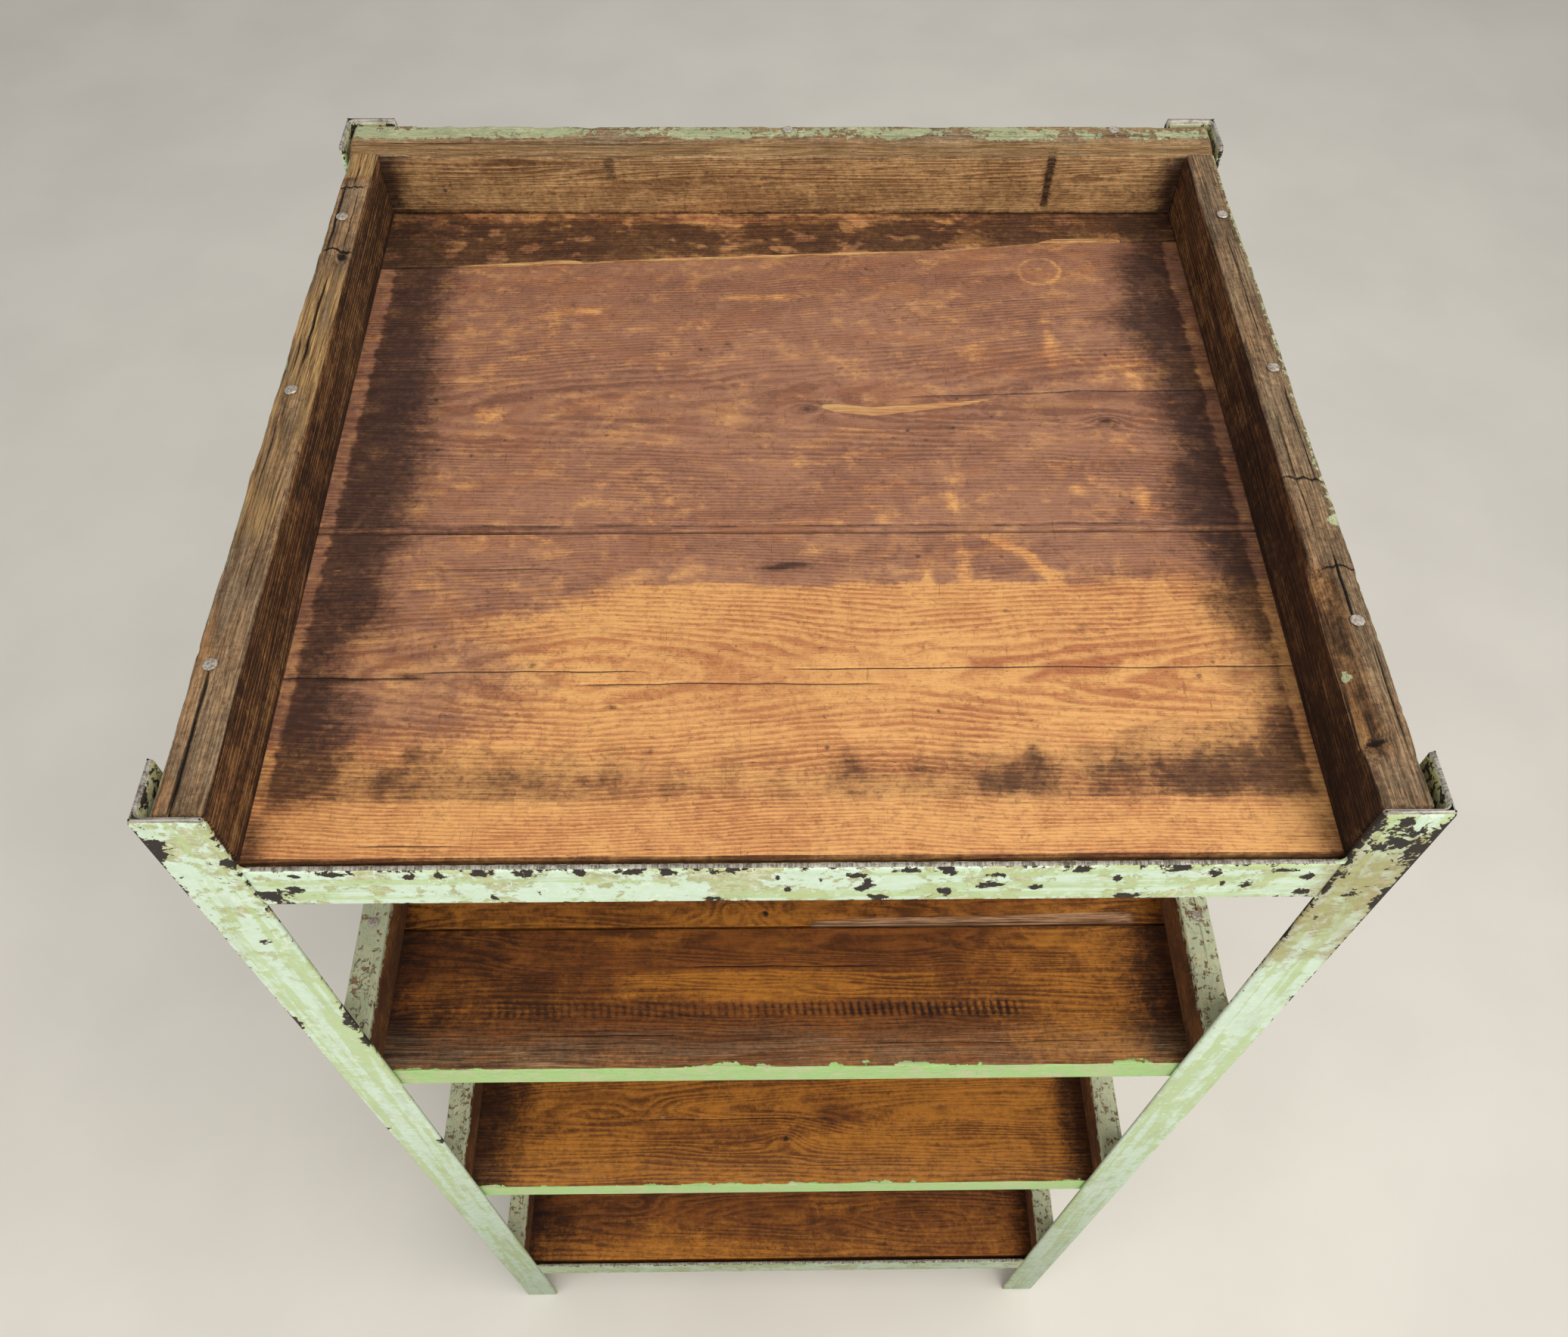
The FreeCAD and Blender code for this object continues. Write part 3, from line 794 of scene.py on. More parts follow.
def tray_pale_and_sheen(x, y, board):
    """Pale sapwood and torn wood of the tray floor, and a painted sheen near its front right corner."""
    line = np.interp(x, (22, 50, 100, 120), (302.5, 297.5, 302, 306))
    half = np.interp(x, (20, 30, 55, 90, 122), (1.5, 4.0, 3.6, 2.0, 0.3))
    sap = (1 - rise(np.abs(y - line) - half, -1.0, 1.0)) * within(x, 20, 120, 3)
    faint = 0.5 * spot(x, y, 160, 300, 50, 6)
    # Painted sheen: a whitish glossy patch near the front right corner, streaked along the grain.
    painted_sheen = 0.6 * within(x, 222, 240, 5) * within(y, 9, 19, 3)
    painted_sheen = painted_sheen * rise(board.noise((30, 1.2, 30), 31, 2), -0.2, 0.4)
    flecks = spots(x, y, ((0.6, -234, 176, 9, 6), (0.7, -226, 144, 14, 5), (0.4, -212, 62, 8, 3)))
    flecks = flecks * rise(board.noise((9, 1.4, 9), 32, 2), 0.1, 0.5)
    return sap + faint + painted_sheen + flecks


def front_depth(a):
    """Depth of the pith under the front plank, which draws its long pointed arches, in millimetres."""
    return np.interp(a, (-274, -100, -60, 30, 55, 274), (8.5, 0.3, 2.0, 7.0, 8.0, 0.5))


def rear_joint(x):
    """Distance of the slanting joint from the front face, for x in millimetres."""
    return np.interp(x, (-274, -170, -60, 0, 100, 170, 274), (421, 424, 430, 433, 438, 446, 450))


def tray_plank(node, cracks, heart, tilt, seed, knots=()):
    """Floor plank of the tray, with its places and where it faces up."""
    board = Board(node, "X", (1.7, 1.35, 5), 1.0, cracks)
    x, y, _ = board.places()
    up = board.up > 0.3
    board.rings(heart, 1.75, tilt, 1.6, seed, (46, 11), knots)
    board.mark("stain_and_shade", tray_stains(x, y, board))
    board.mark("tone", tray_tone(x, y, board))
    board.mark("pale", tray_pale_and_sheen(x, y, board))
    board.sink(np.where(up, 0.25 + 0.25 * board.noise((70, 40, 70), seed, 2), 0.0))
    return board, x, y, up


def tray_front(material):
    """Front plank of the tray: cracks in a broken row, and a worn front edge."""
    cracks = [(106, -252, -183, 1.6, 0.8), (109.3, -184, -78, 1.4, 1.0), (101.5, -104, 44, 1.2, 0.8),
              (110.6, 2, 252, 1.8, 0.9), (13, -200, -150, 0.6, 0.6), (175, -196, -120, 0.5, 0.6)]
    board, x, y, up = tray_plank("tray_plank_front", cracks, (106 + FRONT_MM, -56), front_depth, 3)
    board.most("dark", 0.95 * rise(y, 198.5, 199.5))
    board.marks["plain"] = 0.9 * spot(x, y, -10, 104, 62, 20)
    edge = 1 - rise(y, 5.5, 8)
    board.sink(np.where(up, edge * (0.8 + 0.6 * board.noise((6, 6, 6), 5, 2)), 0.0))
    board.most("stain_and_shade", (edge > 0.4) * 0.75)
    board.build("tray_plank_wood", material)


def tray_middle(material):
    """Middle plank of the tray, with a splintered front edge at the first joint."""
    cracks = [(309.5, 72, 254, 1.6, 2.2), (395, 60, 170, 0.4, 0.8), (330, -210, -170, 0.5, 0.5)]
    knots = ((10, 301 + FRONT_MM, 6, 5), (185, 284 + FRONT_MM, 5, 5))
    board, x, y, up = tray_plank("tray_plank_middle", cracks, (306 + FRONT_MM, -75), 0.03, 9, knots)
    rough = board.noise((9, 2.5, 5), 15)
    edge_line = 205.8 + 0.7 * board.noise((26, 400, 26), 19)
    lip = 1 - rise(y, edge_line - 1.5, edge_line + 0.6)
    groove = peak(y, edge_line, 1.1) * (0.6 + 0.4 * rise(rough, -0.5, 0.3))
    board.sink(np.where(up, lip * (0.25 + 0.35 * rough) + 1.2 * groove, 0.0))
    board.marks["tone"] = np.where(lip > 0.4, 0.95, board.marks["tone"])
    board.marks["stain_and_shade"] *= 1 - 0.35 * lip
    board.most("stain_and_shade", lip * (0.1 + 0.25 * rough + 0.35 * rise(-x, 60, 170)))
    board.most("dark", 0.5 * groove)
    slant(board, -1)
    board.build("tray_plank_wood", material)


def tray_rear(material):
    """Rear plank of the tray: nearly black, with red patches and torn slivers along the joint."""
    board, *_ = tray_plank("tray_plank_rear", [(462, -120, 160, 0.6, 1.0)], (470 + FRONT_MM, -40), 0.0, 17)
    slant(board, 1)
    x, y = board.grid[..., 0] / MM, from_front(board.grid)
    past = y - rear_joint(x)
    sliver = np.interp(x, (-235, -170, -150, -136, -128, -60, 120, 165, 175, 212, 222),
                       (0, 2.2, 3.4, 3.2, 1.0, 1.6, 1.0, 1.0, 3.8, 3.2, 0))
    patch = board.noise((16, 9, 16), 41)
    red = rise(patch, 0.1, 0.3)
    brown = rise(y + 6 * patch, 462, 470) * 0.3 * (1 - rise(x, 60, 160))
    board.mark("tone", 0.35 + 0.5 * patch)
    board.mark("stain_and_shade", 0.95 - 0.42 * red * within(x, -215, 130, 12) - brown
               - 0.3 * rise(board.noise((26, 14, 26), 43), 0.1, 0.5))
    board.marks["dark"] = 0.22 * (1 - red) + 0.12 * rise(np.abs(x), 190, 236)
    board.mark("pale", (1 - rise(past - sliver, -0.4, 0.6)) * rise(sliver, 0.2, 1.4)
               + 0.6 * spot(x, y, 85, 452, 8, 4) + 0.6 * spot(x, y, -5, 450, 6, 3))
    board.build("tray_plank_wood", material)


def slant(board, side):
    """Give the plank's edge at the slanting joint its real line. side is -1 for the plank in front."""
    half_gap = 0.8 * MM
    low, high = board.sides
    target = rear_joint(board.base[..., 0] / MM) * MM + FRONT + side * half_gap
    old, other = (high, low) if side < 0 else (low, high)
    move = (target - old) * ((board.base[..., 1] - other) / (old - other))
    board.grid[..., 1] += move
    board.base[..., 1] += move


# ---- tray boards -----------------------------------------
def weather_board(board, seed, ridge, edge_wear):
    """Raised grain, dents and knocked edges."""
    fibres = board.noise(along(board.axis, 55, 1.7), seed, 2)
    ripple = board.noise(along(board.axis, 34, 9), seed + 3)
    knocks = rise(board.noise((15, 15, 15), seed + 5), 0.05, 0.6) * within(board.up, 0.12, 0.97, 0.08)
    board.sink(0.05 + ridge * (0.5 - 0.5 * fibres) + 0.35 * (0.5 + 0.5 * ripple) + edge_wear * knocks)
    return fibres


def tray_side(side, cracks, cuts):
    """Side board of the tray, with its places and its upper and inner faces: rough, split and worn,
    thinner towards the rear. Its inner face is darkened by painted shade as well as by stains."""
    node = "tray_side_left" if side < 0 else "tray_side_right"
    board = Board(node, "Y", (1.5, 1.25, 1.6), 3.0, cracks, cuts, 0.55)
    sideways = board.facing[..., 0] * side
    top, inner, outer = board.up > 0.5, sideways < -0.5, sideways > 0.5
    x, y, z = board.places()
    board.rings((side * 262, -70), 2.6, 0.02, 5.0, 51 + side, (150, 12))
    fibres = weather_board(board, 60 + side, 0.55, 1.3)
    board.narrow(-side, unit((y - 4) / 472) * 5.5)
    board.narrow(side, np.clip(0.35 + 0.9 * board.noise((1000, 75, 1000), 70 + side), 0, 2))
    board.lower(np.clip(0.25 + 0.8 * board.noise((40, 90, 1000), 73 + side), 0, 2))
    soaked = rise(board.noise((20, 45, 14), 83 + side), 0.1, 0.6)
    # On the inner face this mark is painted shade as well as stains: darker over the whole face and darkest
    # along its foot.
    board.mark("stain_and_shade", 0.16 + 0.2 * board.noise((20, 60, 12), 80 + side) - 0.3 * fibres * top
               + inner * (0.42 - 0.35 * fibres) + inner * 0.35 * soaked
               + 0.25 * inner * (1 - rise(z, 1058, 1064)))
    board.mark("tone", 0.5 + 0.5 * board.noise((30, 80, 20), 87 + side, 2))
    board.mark("grey", top * (0.72 + 0.3 * board.noise((14, 50, 14), 90 + side)))
    board.marks["paint"] = np.where(outer, 0.6 + 0.4 * board.noise((40, 60, 16), 93 + side), 0.0)
    return board, x, y, top, inner


def tray_left(material):
    """Left side board, with a long split at the front and cross cracks at the rear."""
    cracks = [(-264.5, 3, 80, 5.0, 0.9), (-267, 278, 302, 2.2, 0.6), (-262, 286, 352, 2.2, 0.7),
              (-268, 377, 442, 3.0, 0.8), (-257, 378, 440, 0.6, 0.8), (-267, 190, 250, 0.5, 0.8),
              (-258, 120, 200, 0.3, 0.8), (-262, 444, 462, 0.9, 0.5)]
    cuts = [(441, -275, -252, 2.6, 7.0), (378, -272, -250, 2.6, 6.0)]
    board, x, y, top, _ = tray_side(-1, cracks, cuts)
    board.lower(spots(x, y, ((2.6, -256, 374, 5, 6), (1.4, -273, 40, 5, 30), (1.5, -250, 300, 4, 60),
                             (1.2, -262, 320, 2.2, 26))))
    board.most("dark", 0.9 * spot(x, y, -257, 374, 3.2, 3) * (board.up > 0.3))
    bleached = 0.8 * within(y, 150, 372, 40) * (0.7 + 0.6 * board.noise((8, 40, 8), 95))
    bleached = bleached + 0.8 * rise(y, 446, 454)
    board.mark("pale", top * (0.9 * spot(x, y, -260.5, 320, 1.8, 30) + bleached))
    board.marks["grey"] *= 1 - 0.8 * rise(y, 444, 452)
    board.wear_ends(1.6)
    board.build("tray_wall_wood", material)


def tray_right(material):
    """Right side board, with green paint left on its outer edge and a worn hollow near the front."""
    cracks = [(263.5, 106, 142, 2.0, 0.8), (268, 200, 266, 0.5, 0.8), (262, 300, 400, 0.3, 0.9),
              (257, 150, 250, 0.3, 0.8), (269, 30, 96, 0.6, 0.7)]
    cuts = [(196, 250, 275, 1.2, 7.0), (138, 256, 275, 1.0, 8.0)]
    board, x, y, top, inner = tray_side(1, cracks, cuts)
    marks = board.marks
    hollow = within(y, 32, 136, 8)
    board.lower(5.5 * hollow * (1 - rise(x, 249, 262)) + 2.5 * spot(x, y, 257, 39, 5, 3)
                + 1.5 * spot(x, y, 270, 165, 5, 9))
    board.most("dark", 0.8 * spot(x, y, 257, 39, 4.5, 1.8) * (board.up > 0.3))
    marks["grey"] *= 1 - 0.75 * hollow * (1 - rise(x, 256, 264))
    marks["stain_and_shade"] *= 1 - 0.6 * hollow * (1 - rise(x, 252, 262)) * (board.up > 0.2)
    # dim adds painted shade to the inner face, most towards the front and slightly lightening it at the
    # rear; the top is stained darker.
    dim = 0.34 - 0.42 * rise(y, 100, 420)
    board.mark("stain_and_shade", marks["stain_and_shade"] + dim * inner + 0.46 * top)
    edge = rise(x, 266, 272) * within(y, 160, 520, 20) * 0.55
    flecks = spots(x, y, ((0.9, 253, 75, 2.2, 3.5), (0.8, 268, 168, 4, 3)))
    board.most("paint", (edge + flecks) * (board.up > 0.15))
    board.wear_ends(1.6)
    board.build("tray_wall_wood", material)


def shape_back(board, x, y, z, face, top):
    """The back board's worn front arris and lower face, and its sawn groove, whose mask it gives."""
    weather_board(board, 110, 0.4, 1.4)
    hollow = 0.5 * rise(z, 1078, 1084) * (0.5 + 0.5 * board.noise((90, 40, 3.2), 113, 2))
    board.sink(np.where(face, hollow, 0.0))
    board.lower(np.clip(0.2 + 0.6 * board.noise((90, 40, 1000), 114), 0, 1.6))
    shoulder = 1 - rise(y, 474, 489 + 3 * board.noise((70, 400, 400), 115))
    board.lower(5.0 * shoulder * (0.8 + 0.25 * board.noise((40, 400, 400), 116)))
    groove = within(x, 168.5, 174, 0.9) * rise(z, 1060, 1064) * (face | top) * (y < 484)
    board.sink(1.6 * groove)
    return groove


def tray_back(material):
    """Back board, painted over the rear half of its upper edge."""
    board = Board("tray_back_board", "X", (1.6, 1.4, 1.6), 3.0,
                  [(486, -250, -60, 0.8, 0.8), (494, 40, 250, 0.8, 0.9)])
    top, face, rear = board.up > 0.5, board.facing[..., 1] < -0.5, board.facing[..., 1] > 0.5
    x, y, z = board.places()
    board.rings((478 + FRONT_MM, -60), 2.9, 0.02, 7.0, 101, (140, 9))
    groove = shape_back(board, x, y, z, face, top)
    faint = within(x, -114, -107, 2) * rise(z, 1080, 1085) * face * 0.5
    corner = np.exp(-(250 - np.abs(x)) / 9) * 0.7
    foot = (1 - rise(z, 1057.5, 1061)) * 0.6
    board.mark("stain_and_shade", 0.16 + groove * 0.75 + faint + face * (corner + foot)
               + 0.16 * board.noise((60, 40, 12), 117))
    board.mark("tone", 0.45 + 0.5 * board.noise((80, 40, 10), 118, 2))
    board.mark("grey", top * (0.6 + 0.2 * board.noise((40, 8, 8), 119, 2))
               + face * 0.25 * rise(z, 1084, 1094))
    worn = spots(x, y, ((1, -115, 494, 14, 7), (1, 110, 494, 16, 6), (1, 182, 492, 10, 8)))
    board.add("grey", worn * 0.5 * top)
    coat = rise(y + 5 * board.noise((34, 34, 34), 122), 485, 495)
    coat = coat * (0.66 + 0.5 * board.noise((46, 12, 46), 123)) * (1 - 0.6 * unit(worn))
    board.mark("pale", 0.5 * within(y, 472, 488, 3) * board.up)
    board.marks["plain"] = face * 0.75 * (1 - rise(z, 1076, 1084))
    board.marks["paint"] = np.where(rear, 0.62 + 0.4 * board.noise((60, 40, 16), 121), 0) + top * coat
    board.wear_ends(1.2)
    board.build("tray_wall_wood", material)


# ---- shelves ---------------------------------------------
# Spacings of a board's points: along it, across its upper face and up its sides.
FINE, COARSE = (1.8, 1.3, 1.8), (3.0, 2.4, 5)
LIP_FACE = 257     # inner face of a side lip board, from the middle


def shelf_plank(node, seed, heart, knots=(), cracks=(), spacings=FINE, pitch=3.0, tilt=0.06, raised=0.3):
    """Floor plank of a shelf, with its places, where it faces up and its fibres. heart is (y from the
    front face, height above the top), knots are (x, y, size, push)."""
    board = Board(node, "X", spacings, 1.0, cracks)
    x, y, _ = board.places()
    up = board.up > 0.5
    band = board.rings((heart[0] + FRONT_MM, heart[1]), pitch, tilt, 8.0, seed, (120, 14),
                       [(px, py + FRONT_MM, size, push) for px, py, size, push in knots])
    relief = 0.3 + 0.3 * board.noise((60, 30, 60), seed, 2) + 0.25 * band
    fibres = board.noise(along("X", 40, 1.8), seed + 2, 2)
    raised = 1 - rise(y, 36, 46) if raised is None else raised
    board.sink(np.where(up, relief + raised * 0.35 * (0.5 + 0.5 * fibres), 0.15))
    lip_gap = np.minimum(np.abs(x + LIP_FACE), np.abs(x - LIP_FACE))
    dirt = 0.55 * np.exp(-lip_gap / 14) + 0.2 * board.noise((50, 16, 50), seed + 4)
    board.mark("stain_and_shade", dirt + 0.1)
    board.mark("tone", 0.45 + 0.6 * board.noise((70, 16, 70), seed + 5))
    return board, x, y, up, fibres


def lighter_front_and_sheen(board, x, y):
    """Lighter near the front, lighter towards the right by painted sheen, and darker at the left end."""
    near = 1 - rise(y, 18, 44)
    # The lightening towards the right is painted sheen.
    board.add("tone", -0.55 * near - 0.35 * rise(x, 60, 220))
    board.add("stain_and_shade", -0.1 * near + 0.25 * (1 - rise(x, -240, -190)))


def painted_edge(board, x, y, up, seed, drip, weather):
    """Front edge's paint, which has crept onto the top, and the greyed wood behind it."""
    reach = 4.4 + 4.2 * board.noise((11, 5, 11), seed + 6) + drip
    bare_edge = within(x, -185, -120, 5) + within(x, 130, 180, 5)
    coat = np.where(up, (1 - rise(y, reach - 1.5, reach + 3)) * (0.95 - 0.5 * bare_edge), 0.0)
    board.marks["paint"] = np.where(board.facing[..., 1] < -0.3, 1.15, coat)
    board.mark("grey", weather * (1 - rise(y, 14, 44)) * up)


def saw_marks(board, x, y, up, fibres, seed):
    """Row of saw ribs across shelf 1's front plank, the stains and the glow round it, and a painted sheen
    that lightens its right part.
    """
    pitch, lean = 5.1, 0.12
    saw = within(y, 38, 48, 2.0) * within(x, -190, 152, 14)
    wave = np.sin(2 * math.pi * (x + (y - 43) * lean) / pitch) * 0.5 + 0.5
    wave = wave ** 1.5 * (0.75 + 0.4 * board.noise((40, 40, 40), seed + 9, 2))
    wave = wave * (0.55 + 0.45 * rise(x, -40, 60))
    board.sink(np.where(up, saw * wave, 0.0))
    board.add("stain_and_shade", saw * (0.08 + 0.85 * wave) + 0.4 * within(y, 10, 40, 5) * (0.5 + 0.5 * fibres)
              + 0.25 * (1 - rise(x, -160, -60)))
    glow = within(y, 49, 69, 3) * within(x, -105, 95, 25)
    # The lightening towards the right is painted sheen; the right end is also made darker near the leg.
    board.add("tone", 0.45 - 1.1 * glow - 0.5 * rise(x, 90, 190))
    board.add("stain_and_shade", 0.5 * rise(x, 200, 244) * rise(y, 4, 30))
    board.mark("pale", 0.75 * (1 - rise(y, 20, 40)) * rise(fibres, 0.15, 0.6) * up
               + 0.5 * within(y, 70, 75, 1.2) * within(x, -100, 80, 20) * rise(fibres, 0, 0.5))


def rear_plank(node, seed, heart_y, material):
    """A plank at the rear of a shelf, which the photo doesn't show."""
    board, x, y, *_ = shelf_plank(node, seed, (heart_y, -30), spacings=COARSE)
    if node == "shelf_1_plank_3":
        lighter_front_and_sheen(board, x, y)
    board.build("shelf_plank_wood", material)


def shelf_one(material):
    """First shelf below the tray."""
    seed = 131
    cracks = [(72, -60, 60, 0.8, 1.2), (26, -180, -70, 0.6, 1.0), (20, 60, 200, 0.6, 1.0)]
    front, x, y, up, fibres = shelf_plank("shelf_1_plank_1", seed, (96, -16), ((110, 84, 9, 6),), cracks,
                                          (0.9, 1.3, 1.8), raised=None)
    painted_edge(front, x, y, up, seed, 4 * spot(x, y, -38, 8, 14, 20), 0.45)
    saw_marks(front, x, y, up, fibres, seed)
    front.build("shelf_plank_wood", material)
    knots = ((-35, 112, 9, 14), (-14, 113, 3, 4))
    board, x, y, up, _ = shelf_plank("shelf_1_plank_2", 141, (112, -20), knots, spacings=COARSE)
    wane = (1 - rise(y, 103.0 + 0.02 * x, 106.0 + 0.02 * x)) * within(x, 18, 235, 12)
    board.mark("pale", wane * 1.1)
    board.sink(np.where(up, 1.2 * wane, 0.0))
    board.most("dark", 0.9 * spot(x, y, -14, 109.5, 2.4, 2) * up)
    board.build("shelf_plank_wood", material)
    rear_plank("shelf_1_plank_3", 151, 400, material)


def shelf_two(material):
    """Second shelf."""
    seed = 161
    knots = ((2, 41, 10, 10), (-120, 70, 14, 8))
    crack = (58, -120, 40, 0.6, 1.2)
    board, x, y, up, _ = shelf_plank("shelf_2_plank_1", seed, (62, -14), knots, [crack])
    lighter_front_and_sheen(board, x, y)
    painted_edge(board, x, y, up, seed, 0, 0.2)
    board.most("dark", 0.6 * spot(x, y, 2, 41, 3, 3) * up)
    board.mark("pale", 0.9 * spot(x, y, -102, 60, 3, 1.6))
    board.add("stain_and_shade", -0.1 * (1 - rise(y, 16, 60)) + 0.4 * (1 - rise(x, -235, -205))
              + 0.5 * rise(x, 226, 240))
    # Lighter towards the right, which is painted sheen, and lighter near the front.
    board.add("tone", -0.45 * rise(x, 20, 160) - 0.3 * (1 - rise(y, 20, 60)))
    board.build("shelf_plank_wood", material)
    rear_plank("shelf_2_plank_2", 171, 380, material)


def base_shelf(material):
    """Bottom shelf, behind its front rail."""
    knots = ((60, 40, 16, 10), (-150, 60, 12, 8))
    board, x, y, *_ = shelf_plank("base_plank_1", 181, (44, -11), knots, pitch=4.2, tilt=0.09)
    lighter_front_and_sheen(board, x, y)
    board.add("tone", 0.35 + 0.3 * rise(x, 20, 160))
    board.add("stain_and_shade", 0.12 + 0.1 * rise(x, 60, 160))
    board.build("shelf_plank_wood", material)
    rear_plank("base_plank_2", 191, 360, material)


def lip_board(node, axis, side, seed, cracks, material):
    """Thin board beside or behind a shelf, with whitish green paint worn off its edges."""
    board = Board(node, axis, (2.2, 1.7, 2.4), 1.5, cracks)
    sideways = board.facing[..., board.cross] * side
    top, inner, outer = board.up > 0.5, sideways < -0.5, sideways > 0.5
    board.rings((board.sides[0] / MM + 8, -50), 2.6, 0.03, 5.0, seed, (110, 12))
    weather_board(board, seed + 4, 0.3, 0.8)
    board.lower(np.clip(0.5 + 0.8 * board.noise((60, 60, 60), seed + 5), 0, 2))
    drip = board.noise(along("Z", 40, 7), seed + 6)
    depth = (board.top - board.base[..., 2]) / MM
    board.mark("paint", np.where(top, 0.62, 0.0)
               + np.where(outer, 0.66 + 0.4 * board.noise((50, 50, 12), seed + 9), 0.0)
               + np.where(inner, 0.62 - rise(depth, 2, 14) * 0.55 + 0.3 * drip, 0.0)
               + np.where(~(top | inner | outer), 0.6, 0.0))
    board.mark("stain_and_shade", 0.3 * inner + 0.25 * board.noise((30, 30, 14), seed + 7))
    board.mark("tone", 0.5 + 0.5 * board.noise((50, 50, 20), seed + 8, 2))
    board.marks["grey"] = top * 0.6
    board.wear_ends(1.0)
    board.build("lip_wood", material)


def lip_boards(material):
    """The lip boards of every shelf. The right one of shelf 1 is split."""
    split = [(267, 60, 130, 1.2, 0.8)]
    for level, name in enumerate(("shelf_1", "shelf_2", "base")):
        for place, axis, side in (("side_left", "Y", -1), ("side_right", "Y", 1), ("back_board", "X", 1)):
            seed = 200 + level * 20 + len(place) * 3
            cracks = split if (name, place) == ("shelf_1", "side_right") else ()
            lip_board(f"{name}_{place}", axis, side, seed, cracks, material)


# ---- steel pieces ----------------------------------------
WALL = 3.5
FLANGE = 32
RAIL_FACE = 34.5
ROOT_RADIUS = 2.5
TOE_RADIUS = 1.5
HEEL_RADIUS = 0.8
CAP_GAP = 0.03      # left between the two sides of a wall where they meet inside a bar's end


def straight(start, end, normal, arris, step):
    """Points from start to end, their normals and distances to the nearest corner in arris."""
    start, end = np.array(start, float), np.array(end, float)
    count = max(1, int(np.hypot(*(end - start)) / step))
    points = start + (end - start) * (np.arange(count) + 0.5)[:, None] / count
    gaps = [np.hypot(*(points - np.array(corner, float)).T) for corner in arris]
    return points, np.tile(normal, (count, 1)).astype(float), np.minimum.reduce(gaps)


def rounded(centre, radius, start, end, gap=0.0, sign=1, count=4):
    """Points of an arc, their normals and distances to the nearest arris."""
    turns = np.linspace(start, end, count)
    normal = np.stack([np.cos(turns), np.sin(turns)], 1)
    return np.array(centre) + radius * normal, sign * normal, np.full(count, gap)


def angle_outline(upright, step):
    """Outline of rolled angle as points, normals and distance to the nearest arris, in millimetres.
    The heel is at (0, 0); one flange runs along u, the upright one along v."""
    a, b, t = FLANGE, upright, WALL
    toe, root, heel = TOE_RADIUS, ROOT_RADIUS, HEEL_RADIUS
    parts = [
        straight((heel, 0), (a, 0), (0, -1), ((0, 0), (a, 0)), step),
        straight((a, 0), (a, t - toe), (1, 0), ((a, 0), (a, t)), step),
        rounded((a - toe, t - toe), toe, 0, QUARTER),
        straight((a - toe, t), (t + root, t), (0, 1), ((a, t),), step),
        rounded((t + root, t + root), root, -QUARTER, -2 * QUARTER, 10.0, -1),
        straight((t, t + root), (t, b - toe), (1, 0), ((t, b),), step),
        rounded((t - toe, b - toe), toe, 0, QUARTER),
        straight((t - toe, b), (0, b), (0, 1), ((0, b), (t, b)), step),
        straight((0, b), (0, heel), (-1, 0), ((0, 0), (0, b)), step),
        rounded((heel, heel), heel, -2 * QUARTER, -QUARTER),
    ]
    return tuple(np.concatenate([part[index] for part in parts]) for index in range(3))


def close_bar(grid, facing, inward):
    """The bar's grid with both ends closed by drawing the two sides of its wall together."""
    ends = []
    for index in (0, -1):
        draw = facing[index] * ((WALL / 2 - CAP_GAP - inward[index]) * MM)[:, None]
        ends += [grid[index] - draw, grid[index] - draw * 0.5]
    return np.concatenate([np.array(ends[:2]), grid, np.array(ends[:1:-1])])


def angle_bar(node, axis, heel, ways, upright, seed, spacing, step, looks, chips=None):
    """Worn angle bar in place of a CAD one. heel is the corner of the section in the two directions
    across axis, and ways are the signs of its flanges. chips(x, z, facing) gives extra chipping."""
    low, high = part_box(node)
    index = "XYZ".index(axis)
    count = len(np.arange(low[index], high[index] + spacing * MM / 2, spacing * MM))
    length = np.linspace(low[index], high[index], count)
    points, normals, arris = angle_outline(upright, step)
    section = np.array(heel) + points * MM * np.array(ways)
    base, facing = stand(length, section, normals * np.array(ways), axis)
    end_gap = np.minimum(length - low[index], high[index] - length)[:, None] / MM
    rounding = 1.0 - np.sqrt(1.0 - unit(1.0 - end_gap) ** 2)
    inward = rounding + 0.05 + 0.07 * (noise(base, (22, 22, 22), seed, 3) + 1)
    grid = base - facing * (inward * MM)[..., None]
    gap, u, v = (np.broadcast_to(values[None], grid.shape[:2]) for values in (arris, *points.T))
    marks = looks(u, v, base, gap, end_gap, facing)
    extra = chips(base[..., 0] / MM, base[..., 2] / MM, facing) if chips else 0.0
    marks["chip"] = np.clip(marks["chip"] + extra, 0, 2)
    shell = close_bar(grid, facing, inward)
    piece = make_object("worn_" + node, [shell], padded(marks, 2), steel_of(axis), closed=False)
    put(piece, "frame_paint", node)


STEELS = {}


def steel_of(axis):
    """Paint whose streaks run along the bar."""
    if axis not in STEELS:
        STEELS[axis] = painted_steel("frame_paint_" + axis.lower(), axis, "XYZ".index(axis) * 5.0)
    return STEELS[axis]


